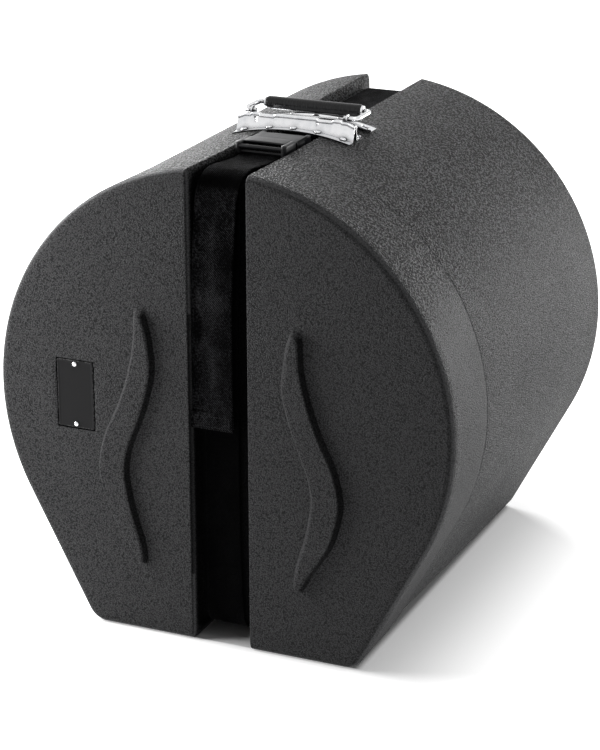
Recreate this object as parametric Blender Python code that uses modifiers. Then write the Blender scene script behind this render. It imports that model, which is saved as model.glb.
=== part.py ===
"""Hard drum case: a moulded D-shaped lid and base, closed by a buckled webbing strap in a channel that runs all
round the case, with a chrome bail handle on top and foam inside. Metres, +Z up, +X to the right seen from the lid.
The origin is on the ground under the middle of the case."""
import math

import bmesh
import bpy
from mathutils import Matrix, Vector

# Case: a circle whose lower sides run straight down to a flat bottom
case_radius = 0.285
circle_lift = 0.0045
bottom_half_width_share = 0.5965
case_depth = 0.540
wall = 0.005
face_edge_radius = 0.012
corner_radius = 0.026
circle_steps = 60
corner_steps = 5
edge_steps = 4
overrun = 0.020
seat_gap = 0.0003
rim_draft = 0.002

# Lid: it stands on a foot, behind which its underside rises to the rim
lid_depth = 0.115
rim_bottom = 0.020
foot_ramp_length = 0.034

# Base: its underside runs down from the rim to a foot at the rear
rear_foot_length = 0.060
neck_length = 0.085
neck_wall = 0.004
neck_clearance = 0.002

# Strap channel, all round the case, with sloping sides
channel_width = 0.073
channel_floor_width = 0.065
channel_depth = 0.016
channel_floor_radius = 0.024
channel_steps = 6

# Raised ribs on the front and rear faces, each an S from bottom to top
rib_height = 0.008
rib_length = 0.312
rib_bottom = 0.088
rib_inner_x = 0.094
rib_sway = 0.041
rib_half_width = 0.0205
rib_flank = 0.006
rib_shoulder_share = 0.35
rib_rise_shares = (0.000, 0.012, 0.030, 0.060, 0.119, 0.199, 0.279, 0.359, 0.439, 0.519,
                   0.599, 0.679, 0.776, 0.872, 0.940, 0.975, 0.990, 1.000)
rib_sway_shares = (0.15, 0.16, 0.19, 0.26, 0.46, 0.73, 0.90, 1.00, 0.93, 0.73,
                   0.46, 0.24, 0.05, 0.00, 0.03, 0.06, 0.07, 0.07)
rib_width_shares = (0.06, 0.24, 0.36, 0.48, 0.70, 0.88, 0.95, 0.98, 0.98, 1.00,
                    0.95, 0.90, 0.83, 0.63, 0.46, 0.32, 0.20, 0.05)

# Name plate, bare, in a shallow pocket of the lid
plate_width = 0.047
plate_height = 0.083
plate_thickness = 0.0015
plate_x_share = -0.6456
plate_drop = 0.002
plate_corner_radius = 0.002
plate_corner_steps = 3
plate_pocket_margin = 0.001
plate_rivet_inset = 0.0045

# Rivets: domed head, shank and a flattened tail inside the shell
rivet_head_radius = 0.0042
rivet_head_height = 0.0022
rivet_shank_radius = 0.0021
rivet_tail_radius = 0.0038
rivet_tail_height = 0.0012
rivet_steps = 16
rivet_dome_steps = 3
plate_rivet_scale = 0.7

# Handle plate: one pressed steel sheet that bridges the channel
handle_width = 0.150
handle_front = 0.203
handle_flange = 0.018
handle_lip_width = 0.0045
handle_lip_height = 0.0125
handle_deck_length = 0.044
handle_deck_height = 0.0028
handle_sheet = 0.0014
handle_bend = 0.0006
handle_columns = 16
handle_rivet_end = 0.012
handle_rivet_channel_gap = 0.00195
lug_thickness = 0.0022
lug_length = 0.010
lug_end = 0.014

# Bail and grip
bail_wire_radius = 0.003
bail_end = 0.003
bail_reach = 0.0430
bail_bend_radius = 0.007
bail_bend_steps = 4
bail_pin_end = 0.019
bail_lip_gap = 0.0025
bail_rest_lift = 0.0026
grip_end_room = 0.014
grip_radius = 0.0077
grip_end_radius = 0.002
grip_steps = 24

# Webbing and its routes
web_width = 0.048
web_thickness = 0.002
web_steps = 6
tail_lift = 0.0045
tail_end_height = 0.268
tail_fold_length = 0.015
tail_fold_layers = 3
web_stack_gap = 0.0006
web_sewn_length = 0.030

# Buckle: a frame with a ladder lock, two prongs, a socket
buckle_front = 0.119
frame_length = 0.031
frame_rail = 0.007
frame_bottom = 0.0035
frame_top = 0.0195
frame_skin = 0.0025
frame_slot_length = 0.0105
frame_web_room = 0.0010
bar_radius = 0.0022
bar_steps = 12
lower_bar_y = 0.0045
lower_bar_lift = 0.0075
upper_bar_y = 0.0025
upper_bar_lift = 0.0140
centre_bar_y = 0.0168
centre_bar_lift = 0.0105
prong_length = 0.0310
prong_width = 0.007
prong_root_x = 0.018
prong_bottom = 0.0055
prong_top = 0.0130
pad_start = 0.0085
pad_length = 0.0180
pad_reach = 0.0150
socket_front_gap = 0.0040
socket_length = 0.040
socket_half_width = 0.031
socket_bottom = 0.0026
socket_top = 0.0160
socket_skin = 0.0018
socket_side = 0.0030
socket_pocket_length = 0.0285
window_start = 0.0035
window_length = 0.0215
socket_bar_inset = 0.0030
socket_bar_lift = 0.0055
plastic_bevel = 0.0010
plastic_bevel_steps = 2

# Foam
foam_thickness = 0.022
foam_slot_margin = 0.003
pad_thickness = 0.020
pad_steps = 8
pad_upper_start_degrees = 18
pad_lower_degrees = (-24, 12)
pad_rivet_gap = 0.002
pad_end_gap = 0.003
cradle_inner_x = 0.075
cradle_top_share = 0.518

front_y = -case_depth / 2
rear_y = case_depth / 2
rim_y = front_y + lid_depth
circle_height = case_radius + circle_lift
case_top = circle_height + case_radius
bottom_half_width = case_radius * bottom_half_width_share
side_angle = math.atan2(-circle_height, bottom_half_width) + math.acos(
    case_radius / math.hypot(circle_height, bottom_half_width))
channel_floor_top = case_top - channel_depth
plate_x = case_radius * plate_x_share
plate_z = circle_height - plate_drop
cradle_top = circle_height * cradle_top_share
outer_rivet_x = handle_width / 2 - handle_rivet_end
inner_rivet_x = channel_width / 2 - rivet_tail_radius - handle_rivet_channel_gap
handle_rivet_xs = (-outer_rivet_x, -inner_rivet_x, 0, inner_rivet_x, outer_rivet_x)
lug_x = handle_width / 2 - lug_end
bail_half_width = handle_width / 2 - bail_end
bail_pin_end_x = handle_width / 2 - bail_pin_end
grip_length = handle_width - 2 * grip_end_room

materials = {}


def material(name, colour, roughness, metallic=0.0):
    """A Principled material of one finish, made once and then shared."""
    if name not in materials:
        made = bpy.data.materials.new(name)
        made.use_nodes = True
        shader = made.node_tree.nodes["Principled BSDF"]
        shader.inputs["Base Color"].default_value = (*colour, 1)
        shader.inputs["Roughness"].default_value = roughness
        shader.inputs["Metallic"].default_value = metallic
        materials[name] = made
    return materials[name]


def shell_plastic():
    return material("shell_plastic", (0.030, 0.030, 0.032), 0.6)


def webbing():
    return material("webbing", (0.020, 0.020, 0.022), 0.85)


def buckle_plastic():
    return material("buckle_plastic", (0.025, 0.025, 0.027), 0.4)


def chrome():
    return material("chrome", (0.80, 0.80, 0.82), 0.08, 1.0)


def foam():
    return material("foam", (0.06, 0.06, 0.065), 0.95)


def clear_scene():
    for item in list(bpy.data.objects):
        bpy.data.objects.remove(item, do_unlink=True)


def collection(name):
    made = bpy.data.collections.new(name)
    bpy.context.scene.collection.children.link(made)
    return made


def add_part(name, work, finish, smooth_angle=35):
    """Closes a bmesh into a named part of the case."""
    bmesh.ops.recalc_face_normals(work, faces=work.faces[:])
    mesh = bpy.data.meshes.new(name)
    work.to_mesh(mesh)
    work.free()
    mesh.shade_smooth()
    mesh.set_sharp_from_angle(angle=math.radians(smooth_angle))
    part = bpy.data.objects.new(name, mesh)
    part.data.materials.append(finish)
    case_parts.objects.link(part)
    return part


def add_cutter(name, work):
    """A closed solid that only cuts or joins another and isn't part of the case."""
    bmesh.ops.recalc_face_normals(work, faces=work.faces[:])
    mesh = bpy.data.meshes.new(name)
    work.to_mesh(mesh)
    work.free()
    tool = bpy.data.objects.new(name, mesh)
    tool.hide_render = True
    tool.display_type = "WIRE"
    cutters.objects.link(tool)
    return tool


def combine(part, tool, operation):
    step = part.modifiers.new(tool.name, "BOOLEAN")
    step.object = tool
    step.operation = operation
    step.solver = "EXACT"


def loft(rings, work=None):
    """A closed solid through rings of equally many points, with flat ends."""
    work = work or bmesh.new()
    rows = [[work.verts.new(point) for point in ring] for ring in rings]
    count = len(rows[0])
    for near, far in zip(rows, rows[1:]):
        for i in range(count):
            j = (i + 1) % count
            work.faces.new((near[i], near[j], far[j], far[i]))
    work.faces.new(rows[0])
    work.faces.new(rows[-1])
    return work


def box(low, high, work=None):
    """A block between two opposite corners."""
    work = work or bmesh.new()
    size = Vector(high) - Vector(low)
    middle = (Vector(high) + Vector(low)) / 2
    bmesh.ops.create_cube(work, size=1, matrix=Matrix.Translation(middle) @ Matrix.Diagonal((*size, 1)))
    return work


def cylinder(centre, axis, radius, length, steps, work=None):
    """A round bar centred on a point, along an axis."""
    work = work or bmesh.new()
    turn = Vector((0, 0, 1)).rotation_difference(Vector(axis)).to_matrix().to_4x4()
    bmesh.ops.create_cone(work, cap_ends=True, segments=steps, radius1=radius, radius2=radius, depth=length,
                          matrix=Matrix.Translation(centre) @ turn)
    return work


def arc(centre, radius, start, end, steps):
    """Points of a plane arc, both ends included; angles in radians."""
    return [(centre[0] + radius * math.cos(start + (end - start) * i / steps),
             centre[1] + radius * math.sin(start + (end - start) * i / steps)) for i in range(steps + 1)]


# Section and shells


def case_section(inset, bottom):
    """The D section as (x, z) points: round the right corner, over the circle and round the left corner."""
    radius = case_radius - inset
    corner = max(corner_radius - inset, wall)
    centre_z = bottom + corner
    centre_x = (radius - corner - math.sin(side_angle) * (centre_z - circle_height)) / math.cos(side_angle)
    right = arc((centre_x, centre_z), corner, -math.pi / 2, side_angle, corner_steps)
    circle = arc((0, circle_height), radius, side_angle, math.pi - side_angle, circle_steps)
    left = [(-x, z) for x, z in reversed(right)]
    return right + circle + left


def section_ring(inset, bottom, y):
    return [(x, y, z) for x, z in case_section(inset, bottom)]


def outline_inset(y):
    """How far the section is drawn in at a depth: nothing at the two faces, the most at the rim."""
    share = (y - front_y) / lid_depth if y < rim_y else (rear_y - y) / (rear_y - rim_y)
    return rim_draft * share


def underside(y):
    """Height of the underside: flat under the lid's foot, rounded up to the rim, then falling to the rear foot."""
    foot_y = rear_y - rear_foot_length
    if y >= rim_y:
        return rim_bottom * max(0, foot_y - y) / (foot_y - rim_y)
    along = max(0, y - rim_y + foot_ramp_length) / foot_ramp_length
    return rim_bottom * (1 - math.sqrt(1 - along ** 2))


def shell_ring(y, inset=0):
    """The case's outer surface at a depth, drawn in by an inset."""
    return section_ring(outline_inset(y) + inset, underside(y) + inset, y)


def rounded_face_rings(face_y, inward):
    """Rings from the flat of an end face round its edge to the full section."""
    rings = []
    for i in range(edge_steps + 1):
        turn = math.pi / 2 * i / edge_steps
        rings.append(shell_ring(face_y + inward * face_edge_radius * (1 - math.cos(turn)),
                                face_edge_radius * (1 - math.sin(turn))))
    return rings


def channel_loop(inset, x):
    """The case's middle-plane outline, drawn in by an inset, as points at one x."""
    radius = channel_floor_radius + channel_depth - inset
    low_y, high_y = front_y + inset + radius, rear_y - inset - radius
    low_z, high_z = inset + radius, case_top - inset - radius
    corners = ((high_y, high_z, 0), (low_y, high_z, 1), (low_y, low_z, 2), (high_y, low_z, 3))
    points = []
    for y, z, quarter in corners:
        start = quarter * math.pi / 2
        points += arc((y, z), radius, start, start + math.pi / 2, channel_steps)
    return [(x, y, z) for y, z in points]


def channel_cutter(name, grow):
    """All that lies in the channel, grown outwards on every side: a ring round the case."""
    slope = (channel_width - channel_floor_width) / 2 / channel_depth
    half_floor = channel_floor_width / 2 + grow
    half_open = channel_width / 2 + grow + slope * overrun
    stations = ((-half_open, -overrun), (-half_floor, channel_depth + grow),
                (half_floor, channel_depth + grow), (half_open, -overrun))
    outside = -overrun - case_radius / 4
    work = bmesh.new()
    inner = [[work.verts.new(p) for p in channel_loop(inset, x)] for x, inset in stations]
    outer = [[work.verts.new(p) for p in channel_loop(outside, x)] for x, inset in (stations[0], stations[-1])]
    count = len(inner[0])
    bands = list(zip(inner, inner[1:])) + [(inner[0], outer[0]), (inner[-1], outer[-1]), (outer[0], outer[-1])]
    for near, far in bands:
        for i in range(count):
            j = (i + 1) % count
            work.faces.new((near[i], near[j], far[j], far[i]))
    return add_cutter(name, work)


def rib_outline(side, inset):
    """One S-shaped rib's outline as (x, z) points, drawn in by an inset."""
    right, left = [], []
    for rise, sway, width in zip(rib_rise_shares, rib_sway_shares, rib_width_shares):
        x = rib_inner_x + rib_sway * sway
        z = rib_bottom + inset + (rib_length - 2 * inset) * rise
        half = max(rib_half_width * width - inset, seat_gap)
        right.append((side * (x + half), z))
        left.append((side * (x - half), z))
    return right + left[::-1]


def rib_solid(name, side, face_y, outward):
    """A rib as a low mound that starts inside the wall of a face."""
    levels = ((-wall / 2, 0), (0, 0), (rib_height * (1 - rib_shoulder_share), rib_flank / 4), (rib_height, rib_flank))
    rings = [[(x, face_y + outward * lift, z) for x, z in rib_outline(side, inset)] for lift, inset in levels]
    return add_cutter(name, loft(rings))


def lid_rings(inset):
    """Rings of the lid along its foot's ramp, up to the rim."""
    return [shell_ring(rim_y - foot_ramp_length * (1 - math.sin(math.pi / 2 * i / edge_steps)), inset)
            for i in range(edge_steps + 1)]


def make_lid():
    """Lid shell: closed at the front, open at the rim, with the foot, the ribs and the name plate's pocket."""
    lid = add_part("lid_shell", loft(rounded_face_rings(front_y, 1) + lid_rings(0)), shell_plastic())
    combine(lid, channel, "DIFFERENCE")
    mouth = section_ring(rim_draft + wall, rim_bottom + wall, rim_y + overrun)
    hollow = add_cutter("lid_hollow", loft([shell_ring(front_y + wall, wall)] + lid_rings(wall) + [mouth]))
    combine(hollow, channel_and_wall, "DIFFERENCE")
    combine(lid, hollow, "DIFFERENCE")
    for label, side in (("left", -1), ("right", 1)):
        combine(lid, rib_solid("front_rib_" + label, side, front_y, -1), "UNION")
    pocket = rounded_plate(plate_width + 2 * plate_pocket_margin, plate_height + 2 * plate_pocket_margin,
                           front_y - overrun, front_y + plate_thickness + seat_gap)
    combine(lid, add_cutter("name_plate_pocket", pocket), "DIFFERENCE")
    holes = bmesh.new()
    for z in name_plate_rivet_heights():
        rivet_hole((plate_x, front_y, z), (0, -1, 0), plate_rivet_scale, holes)
    combine(lid, add_cutter("name_plate_holes", holes), "DIFFERENCE")
    return lid


def make_base():
    """Base shell: closed at the rear, with a neck at the front that goes into the lid."""
    foot_y = rear_y - rear_foot_length
    body = [shell_ring(rim_y + seat_gap), shell_ring(foot_y)] + rounded_face_rings(rear_y, -1)[::-1]
    base = add_part("base_shell", loft(body), shell_plastic())
    combine(base, channel, "DIFFERENCE")
    neck_inset = wall + neck_clearance
    neck_front = rim_y - neck_length
    neck = add_cutter("neck_solid", loft([section_ring(rim_draft + neck_inset, rim_bottom + neck_inset, y)
                                          for y in (neck_front, rim_y + wall)]))
    combine(neck, channel_and_neck_room, "DIFFERENCE")
    combine(base, neck, "UNION")
    body_hollow = add_cutter("body_hollow", loft([shell_ring(y, wall)
                                                  for y in (rim_y + wall, foot_y, rear_y - wall)]))
    combine(body_hollow, channel_and_wall, "DIFFERENCE")
    combine(base, body_hollow, "DIFFERENCE")
    inner_inset = neck_inset + neck_wall
    neck_hollow = add_cutter("neck_hollow", loft([section_ring(rim_draft + inner_inset, rim_bottom + inner_inset, y)
                                                  for y in (neck_front - overrun, rim_y + wall + overrun)]))
    combine(neck_hollow, channel_and_neck, "DIFFERENCE")
    combine(base, neck_hollow, "DIFFERENCE")
    for label, side in (("left", -1), ("right", 1)):
        combine(base, rib_solid("rear_rib_" + label, side, rear_y, 1), "UNION")
    holes = bmesh.new()
    for point, outward in handle_rivet_places():
        if abs(point.x) > channel_width / 2:
            rivet_hole(point, outward, 1, holes)
    combine(base, add_cutter("handle_holes_in_base", holes), "DIFFERENCE")
    return base


# Name plate and rivets


def rounded_plate(width, height, near_y, far_y):
    """A flat plate with rounded corners, round the name plate's centre."""
    ring = []
    for quarter, (sx, sz) in enumerate(((1, 1), (-1, 1), (-1, -1), (1, -1))):
        centre = (plate_x + sx * (width / 2 - plate_corner_radius), plate_z + sz * (height / 2 - plate_corner_radius))
        start = quarter * math.pi / 2
        ring += arc(centre, plate_corner_radius, start, start + math.pi / 2, plate_corner_steps)
    return loft([[(x, y, z) for x, z in ring] for y in (near_y, far_y)])


def name_plate_rivet_heights():
    reach = plate_height / 2 - plate_rivet_inset
    return (plate_z - reach, plate_z + reach)


def rivet_hole(point, outward, scale, work):
    """A clear hole for a rivet's shank through all that it joins."""
    cylinder(point, outward, rivet_shank_radius * scale + seat_gap, 2 * overrun, rivet_steps, work)


def turned(name, profile, axis, steps, finish, centre, outward=None):
    """A turned piece: a profile of (radius, height) points, screwed round its axis and set in place."""
    work = bmesh.new()
    row = [work.verts.new((radius, 0, height) if axis == "Z" else (height, 0, radius)) for radius, height in profile]
    for near, far in zip(row, row[1:]):
        work.edges.new((near, far))
    if profile[0][0] > 0:
        work.edges.new((row[-1], row[0]))
    mesh = bpy.data.meshes.new(name)
    work.to_mesh(mesh)
    work.free()
    piece = bpy.data.objects.new(name, mesh)
    piece.data.materials.append(finish)
    piece.location = centre
    if outward is not None:
        piece.rotation_mode = "QUATERNION"
        piece.rotation_quaternion = Vector((0, 0, 1)).rotation_difference(Vector(outward))
    screw = piece.modifiers.new("turn", "SCREW")
    screw.axis = axis
    screw.steps = steps
    screw.render_steps = steps
    screw.use_merge_vertices = True
    screw.merge_threshold = seat_gap / 30
    case_parts.objects.link(piece)
    return piece


def make_rivet(name, point, outward, grip, scale, finish):
    """A turned rivet whose head sits on a point and whose tail is a grip's length further in."""
    head, shank, tail = (r * scale for r in (rivet_head_radius, rivet_shank_radius, rivet_tail_radius))
    lift, tail_height = rivet_head_height * scale, rivet_tail_height * scale
    dome = [(radius, height * lift / head) for radius, height in arc((0, 0), head, math.pi / 2, 0, rivet_dome_steps)]
    profile = [(0, lift)] + dome[1:] + [(shank, 0), (shank, -grip), (tail, -grip), (tail, -grip - tail_height),
                                        (0, -grip - tail_height)]
    return turned(name, profile, "Z", rivet_steps, finish, point, outward)


def make_name_plate():
    """Bare plate in its pocket, held by two rivets."""
    plate = add_part("name_plate", rounded_plate(plate_width, plate_height, front_y, front_y + plate_thickness),
                     material("name_plate", (0.035, 0.035, 0.037), 0.45))
    holes = bmesh.new()
    for z in name_plate_rivet_heights():
        rivet_hole((plate_x, front_y, z), (0, -1, 0), plate_rivet_scale, holes)
    combine(plate, add_cutter("plate_holes", holes), "DIFFERENCE")
    for label, z in zip(("lower", "upper"), name_plate_rivet_heights()):
        make_rivet("name_plate_rivet_" + label, (plate_x, front_y - seat_gap, z), (0, -1, 0),
                   wall + 2 * seat_gap, plate_rivet_scale, chrome())


# Handle


def case_surface(x, y, lift):
    """Height of the round top of the case at one place, raised square to the surface."""
    return circle_height + math.sqrt((case_radius - outline_inset(y) + lift) ** 2 - x ** 2)


def handle_rows():
    """Rows of the handle plate from front to rear: y, and height above the case's crown or None on the surface."""
    y = front_y + handle_front
    lip_start, lip_end = y + handle_flange, y + handle_flange + handle_lip_width
    deck_end = lip_end + handle_deck_length
    return ((y, None), (lip_start - handle_bend, None), (lip_start, handle_lip_height), (lip_end, handle_lip_height),
            (lip_end + handle_bend, handle_deck_height), (deck_end, handle_deck_height),
            (deck_end + handle_bend, None), (deck_end + handle_flange, None))


def bail_axis():
    """The bail's hinge line, just behind the lip, as (y, z)."""
    lip_end = handle_rows()[3][0]
    return (lip_end + handle_bend + bail_lip_gap + bail_wire_radius,
            case_top + handle_deck_height + grip_radius + bail_rest_lift)


def handle_rivet_places():
    """Each rivet's place on the flanges: a point on the shell's surface and the way out."""
    rows = handle_rows()
    places = []
    for near, far in ((rows[0], rows[1]), (rows[-2], rows[-1])):
        for x in handle_rivet_xs:
            y = (near[0] + far[0]) / 2
            z = case_surface(x, y, 0)
            places.append((Vector((x, y, z)), Vector((x, 0, z - circle_height)).normalized()))
    return places


def make_handle_plate():
    """One sheet: flanges that follow the round of the case, a raised lip at the front and a lower deck."""
    work = bmesh.new()
    half = handle_width / 2
    columns = [-half - handle_bend] + [-half + handle_width * i / handle_columns for i in range(handle_columns + 1)]
    columns.append(half + handle_bend)
    low = handle_sheet + seat_gap
    grid = []
    for y, height in handle_rows():
        row = []
        for x in columns:
            at_side = abs(x) > half
            z = case_surface(x, y, low) if height is None or at_side else case_top + height
            row.append(work.verts.new((x, y, z)))
        grid.append(row)
    for near, far in zip(grid, grid[1:]):
        for i in range(len(columns) - 1):
            work.faces.new((near[i], near[i + 1], far[i + 1], far[i]))
    plate = add_part("handle_plate", work, chrome(), 30)
    sheet = plate.modifiers.new("sheet", "SOLIDIFY")
    sheet.thickness = handle_sheet
    sheet.offset = -1
    sheet.use_even_offset = True
    axis_y, axis_z = bail_axis()
    reach = bail_wire_radius + seat_gap
    for label, side in (("left", -1), ("right", 1)):
        low_corner = (side * lug_x - lug_thickness / 2, axis_y - lug_length / 2,
                      case_top + handle_deck_height - handle_sheet / 2)
        high_corner = (side * lug_x + lug_thickness / 2, axis_y + lug_length / 2, axis_z + lug_length / 2)
        combine(plate, add_cutter("bail_lug_" + label, box(low_corner, high_corner)), "UNION")
    pins = bmesh.new()
    for side in (-1, 1):
        cylinder((side * lug_x, axis_y, axis_z), (1, 0, 0), reach, 4 * lug_thickness, rivet_steps, pins)
    combine(plate, add_cutter("bail_pin_holes", pins), "DIFFERENCE")
    holes = bmesh.new()
    for point, outward in handle_rivet_places():
        rivet_hole(point, outward, 1, holes)
    combine(plate, add_cutter("handle_holes_in_plate", holes), "DIFFERENCE")
    for number, (point, outward) in enumerate(handle_rivet_places()):
        row = "front" if number < len(handle_rivet_xs) else "rear"
        grip = handle_sheet + 3 * seat_gap
        if abs(point.x) > channel_width / 2:
            grip += wall
        make_rivet(f"handle_rivet_{row}_{number % len(handle_rivet_xs) + 1}",
                   point + outward * (handle_sheet + 2 * seat_gap), outward, grip, 1, chrome())
    return plate


def make_bail():
    """Wire bail: its turned-in ends are the hinge pins and its crossbar carries the grip."""
    axis_y, axis_z = bail_axis()
    bend_x = bail_half_width - bail_bend_radius
    half_route = [(bail_pin_end_x, 0)]
    half_route += arc((bend_x, bail_bend_radius), bail_bend_radius, -math.pi / 2, 0, bail_bend_steps)
    half_route += arc((bend_x, bail_reach - bail_bend_radius), bail_bend_radius, 0, math.pi / 2, bail_bend_steps)
    route = half_route + [(-x, y) for x, y in reversed(half_route)]
    curve = bpy.data.curves.new("handle_bail_route", "CURVE")
    curve.dimensions = "3D"
    curve.bevel_depth = bail_wire_radius
    curve.bevel_resolution = 3
    curve.use_fill_caps = True
    spline = curve.splines.new("POLY")
    spline.points.add(len(route) - 1)
    for point, (x, y) in zip(spline.points, route):
        point.co = (x, y, 0, 1)
    wire = bpy.data.objects.new("handle_bail_wire", curve)
    case_parts.objects.link(wire)
    mesh = bpy.data.meshes.new_from_object(wire.evaluated_get(bpy.context.evaluated_depsgraph_get()))
    bpy.data.objects.remove(wire)
    work = bmesh.new()
    work.from_mesh(mesh)
    bmesh.ops.remove_doubles(work, verts=work.verts[:], dist=seat_gap / 10)
    bail = add_part("handle_bail", work, chrome())
    bail.location = (0, axis_y, axis_z)
    bore = bail_wire_radius + seat_gap
    half, chamfered = grip_length / 2, grip_length / 2 - grip_end_radius
    profile = [(bore, -half), (bore, half), (grip_radius - grip_end_radius, half), (grip_radius, chamfered),
               (grip_radius, -chamfered), (grip_radius - grip_end_radius, -half)]
    grip = turned("handle_grip", profile, "X", grip_steps, material("grip_rubber", (0.02, 0.02, 0.021), 0.35),
                  (0, bail_reach, 0))
    grip.parent = bail


# Webbing


def web_strip(name, route, thickness=web_thickness, width=web_width):
    """Flat webbing along a route of (y, z) points in the case's middle plane."""
    rings = []
    for i, point in enumerate(route):
        before, after = route[max(i - 1, 0)], route[min(i + 1, len(route) - 1)]
        along = Vector((after[0] - before[0], after[1] - before[1])).normalized()
        across = Vector((-along.y, along.x)) * thickness / 2
        near, far = Vector(point) - across, Vector(point) + across
        rings.append([(-width / 2, *near), (width / 2, *near), (width / 2, *far), (-width / 2, *far)])
    return add_part(name, loft(rings), webbing(), 50)


def channel_corner(inset, quarter):
    """Route round one corner of the channel, counted from the rear top corner over the front."""
    radius = channel_floor_radius + channel_depth - inset
    y = rear_y - inset - radius if quarter in (0, 3) else front_y + inset + radius
    z = case_top - inset - radius if quarter in (0, 1) else inset + radius
    start = quarter * math.pi / 2
    return arc((y, z), radius, start, start + math.pi / 2, web_steps)


def make_strap():
    """The loop: rear run, bottom run, front run and top run into the ladder lock, then the free tail."""
    main = channel_depth - seat_gap - web_thickness / 2
    tail = main - tail_lift
    frame_y = front_y + buckle_front
    bar_y, bar_z = frame_y + centre_bar_y, channel_floor_top + centre_bar_lift
    layer = case_top - main
    upper = layer + web_thickness + web_stack_gap
    wrap = bar_radius + seat_gap + web_thickness / 2
    lock_start = frame_y - buckle_lead()
    corner_top, corner_low = channel_corner(main, 1), channel_corner(main, 2)
    split = channel_corner(tail, 1)

    over_bar = [(y, z) for y, z in arc((bar_y, bar_z), wrap, -math.pi / 4, math.pi, 2 * web_steps)]
    web_strip("strap_in_buckle", [(lock_start, layer), (bar_y - wrap, layer), *over_bar,
                                  (bar_y - wrap - web_thickness, bar_z - wrap),
                                  (bar_y - 2 * wrap, upper), (lock_start, upper)])
    web_strip("strap_top_front", [(lock_start - seat_gap, layer), (corner_top[0][0] + seat_gap, layer)])
    web_strip("strap_front", corner_top + corner_low)
    web_strip("strap_bottom", [(corner_low[-1][0] + seat_gap, main),
                               (channel_corner(main, 3)[0][0] - seat_gap, main)])
    web_strip("strap_tail_top", [(lock_start - seat_gap, upper), (split[0][0] + seat_gap, case_top - tail)])
    fold_top = tail_end_height + tail_fold_length
    web_strip("strap_tail", [*split, (front_y + tail, fold_top)])
    web_strip("strap_tail_fold", [(front_y + tail, fold_top - seat_gap), (front_y + tail, tail_end_height)],
              web_thickness * tail_fold_layers)

    socket_bar = frame_y + frame_length + socket_front_gap + socket_length - socket_bar_inset
    socket_z = channel_floor_top + socket_bar_lift
    around = arc((socket_bar, socket_z), wrap, math.pi / 3, 3 * math.pi / 2, 2 * web_steps)
    sewn_end = socket_bar + web_sewn_length
    rear_top, rear_low = channel_corner(main, 0), channel_corner(main, 3)
    under = layer
    over = layer + web_thickness + web_stack_gap
    web_strip("strap_rear", [*rear_low, *rear_top, (sewn_end + web_sewn_length, under),
                             (sewn_end, over), (socket_bar + 3 * wrap, over),
                             *around, (socket_bar + 2 * wrap, under), (sewn_end - wrap, under)])


def buckle_lead():
    """Length of the folded webbing that shows in front of the buckle's frame."""
    return 2 * web_thickness


# Buckle


def bevelled(part):
    step = part.modifiers.new("edges", "BEVEL")
    step.width = plastic_bevel
    step.segments = plastic_bevel_steps
    step.limit_method = "ANGLE"


def make_buckle():
    """Frame, prongs and socket, in line along the channel behind the lid's rim."""
    z = channel_floor_top
    frame_y = front_y + buckle_front
    half = web_width / 2 + frame_web_room + frame_rail
    frame_end = frame_y + frame_length
    frame = add_part("buckle_frame", box((-half, frame_y, z + frame_bottom), (half, frame_end, z + frame_top)),
                     buckle_plastic())
    bevelled(frame)
    cavity = box((-half + frame_rail, frame_y - overrun, z + frame_bottom - overrun),
                 (half - frame_rail, frame_end - frame_rail, z + frame_top - frame_skin))
    combine(frame, add_cutter("frame_cavity", cavity), "DIFFERENCE")
    slot = box((-half + frame_rail, frame_y - overrun, z + frame_bottom),
               (half - frame_rail, frame_y + frame_slot_length, z + frame_top + overrun))
    combine(frame, add_cutter("frame_slot", slot), "DIFFERENCE")
    for label, y, lift in (("lower", lower_bar_y, lower_bar_lift), ("upper", upper_bar_y, upper_bar_lift),
                           ("centre", centre_bar_y, centre_bar_lift)):
        bar = cylinder((0, frame_y + y, z + lift), (1, 0, 0), bar_radius, 2 * half - frame_rail, bar_steps)
        combine(frame, add_cutter("frame_bar_" + label, bar), "UNION")

    for label, side in (("left", -1), ("right", 1)):
        outline = [(0, 0), (prong_width, 0), (prong_width, pad_start), (pad_reach, pad_start + prong_width / 4),
                   (pad_reach, pad_start + pad_length - prong_width / 2), (prong_width, pad_start + pad_length),
                   (prong_width, prong_length - prong_width / 2), (prong_width / 2, prong_length), (0, prong_length)]
        prong = add_part("buckle_prong_" + label, loft([[(side * x, y, height) for x, y in outline]
                                                        for height in (0, prong_top - prong_bottom)]),
                         buckle_plastic())
        prong.location = (side * prong_root_x, frame_end + seat_gap, z + prong_bottom)
        bevelled(prong)

    start = frame_end + socket_front_gap
    end = start + socket_length
    socket = add_part("buckle_socket", box((-socket_half_width, start, z + socket_bottom),
                                           (socket_half_width, end, z + socket_top)), buckle_plastic())
    bevelled(socket)
    room = socket_half_width - socket_side
    pocket = box((-room, start - overrun, z + socket_bottom + socket_skin),
                 (room, start + socket_pocket_length, z + socket_top - socket_skin))
    combine(socket, add_cutter("socket_pocket", pocket), "DIFFERENCE")
    sides = box((-socket_half_width - overrun, start + window_start, z + socket_bottom + socket_skin),
                (socket_half_width + overrun, start + window_start + window_length, z + socket_top - socket_skin))
    combine(socket, add_cutter("socket_windows", sides), "DIFFERENCE")
    slot_half = web_width / 2 + frame_web_room
    rear_slot = box((-slot_half, start + socket_pocket_length + socket_side, z + socket_bottom - overrun),
               (slot_half, end + overrun, z + socket_top + overrun))
    combine(socket, add_cutter("socket_slot", rear_slot), "DIFFERENCE")
    bar = cylinder((0, end - socket_bar_inset, z + socket_bar_lift), (1, 0, 0), bar_radius,
                   2 * slot_half + socket_side, bar_steps)
    combine(socket, add_cutter("socket_bar", bar), "UNION")


# Foam


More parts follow.
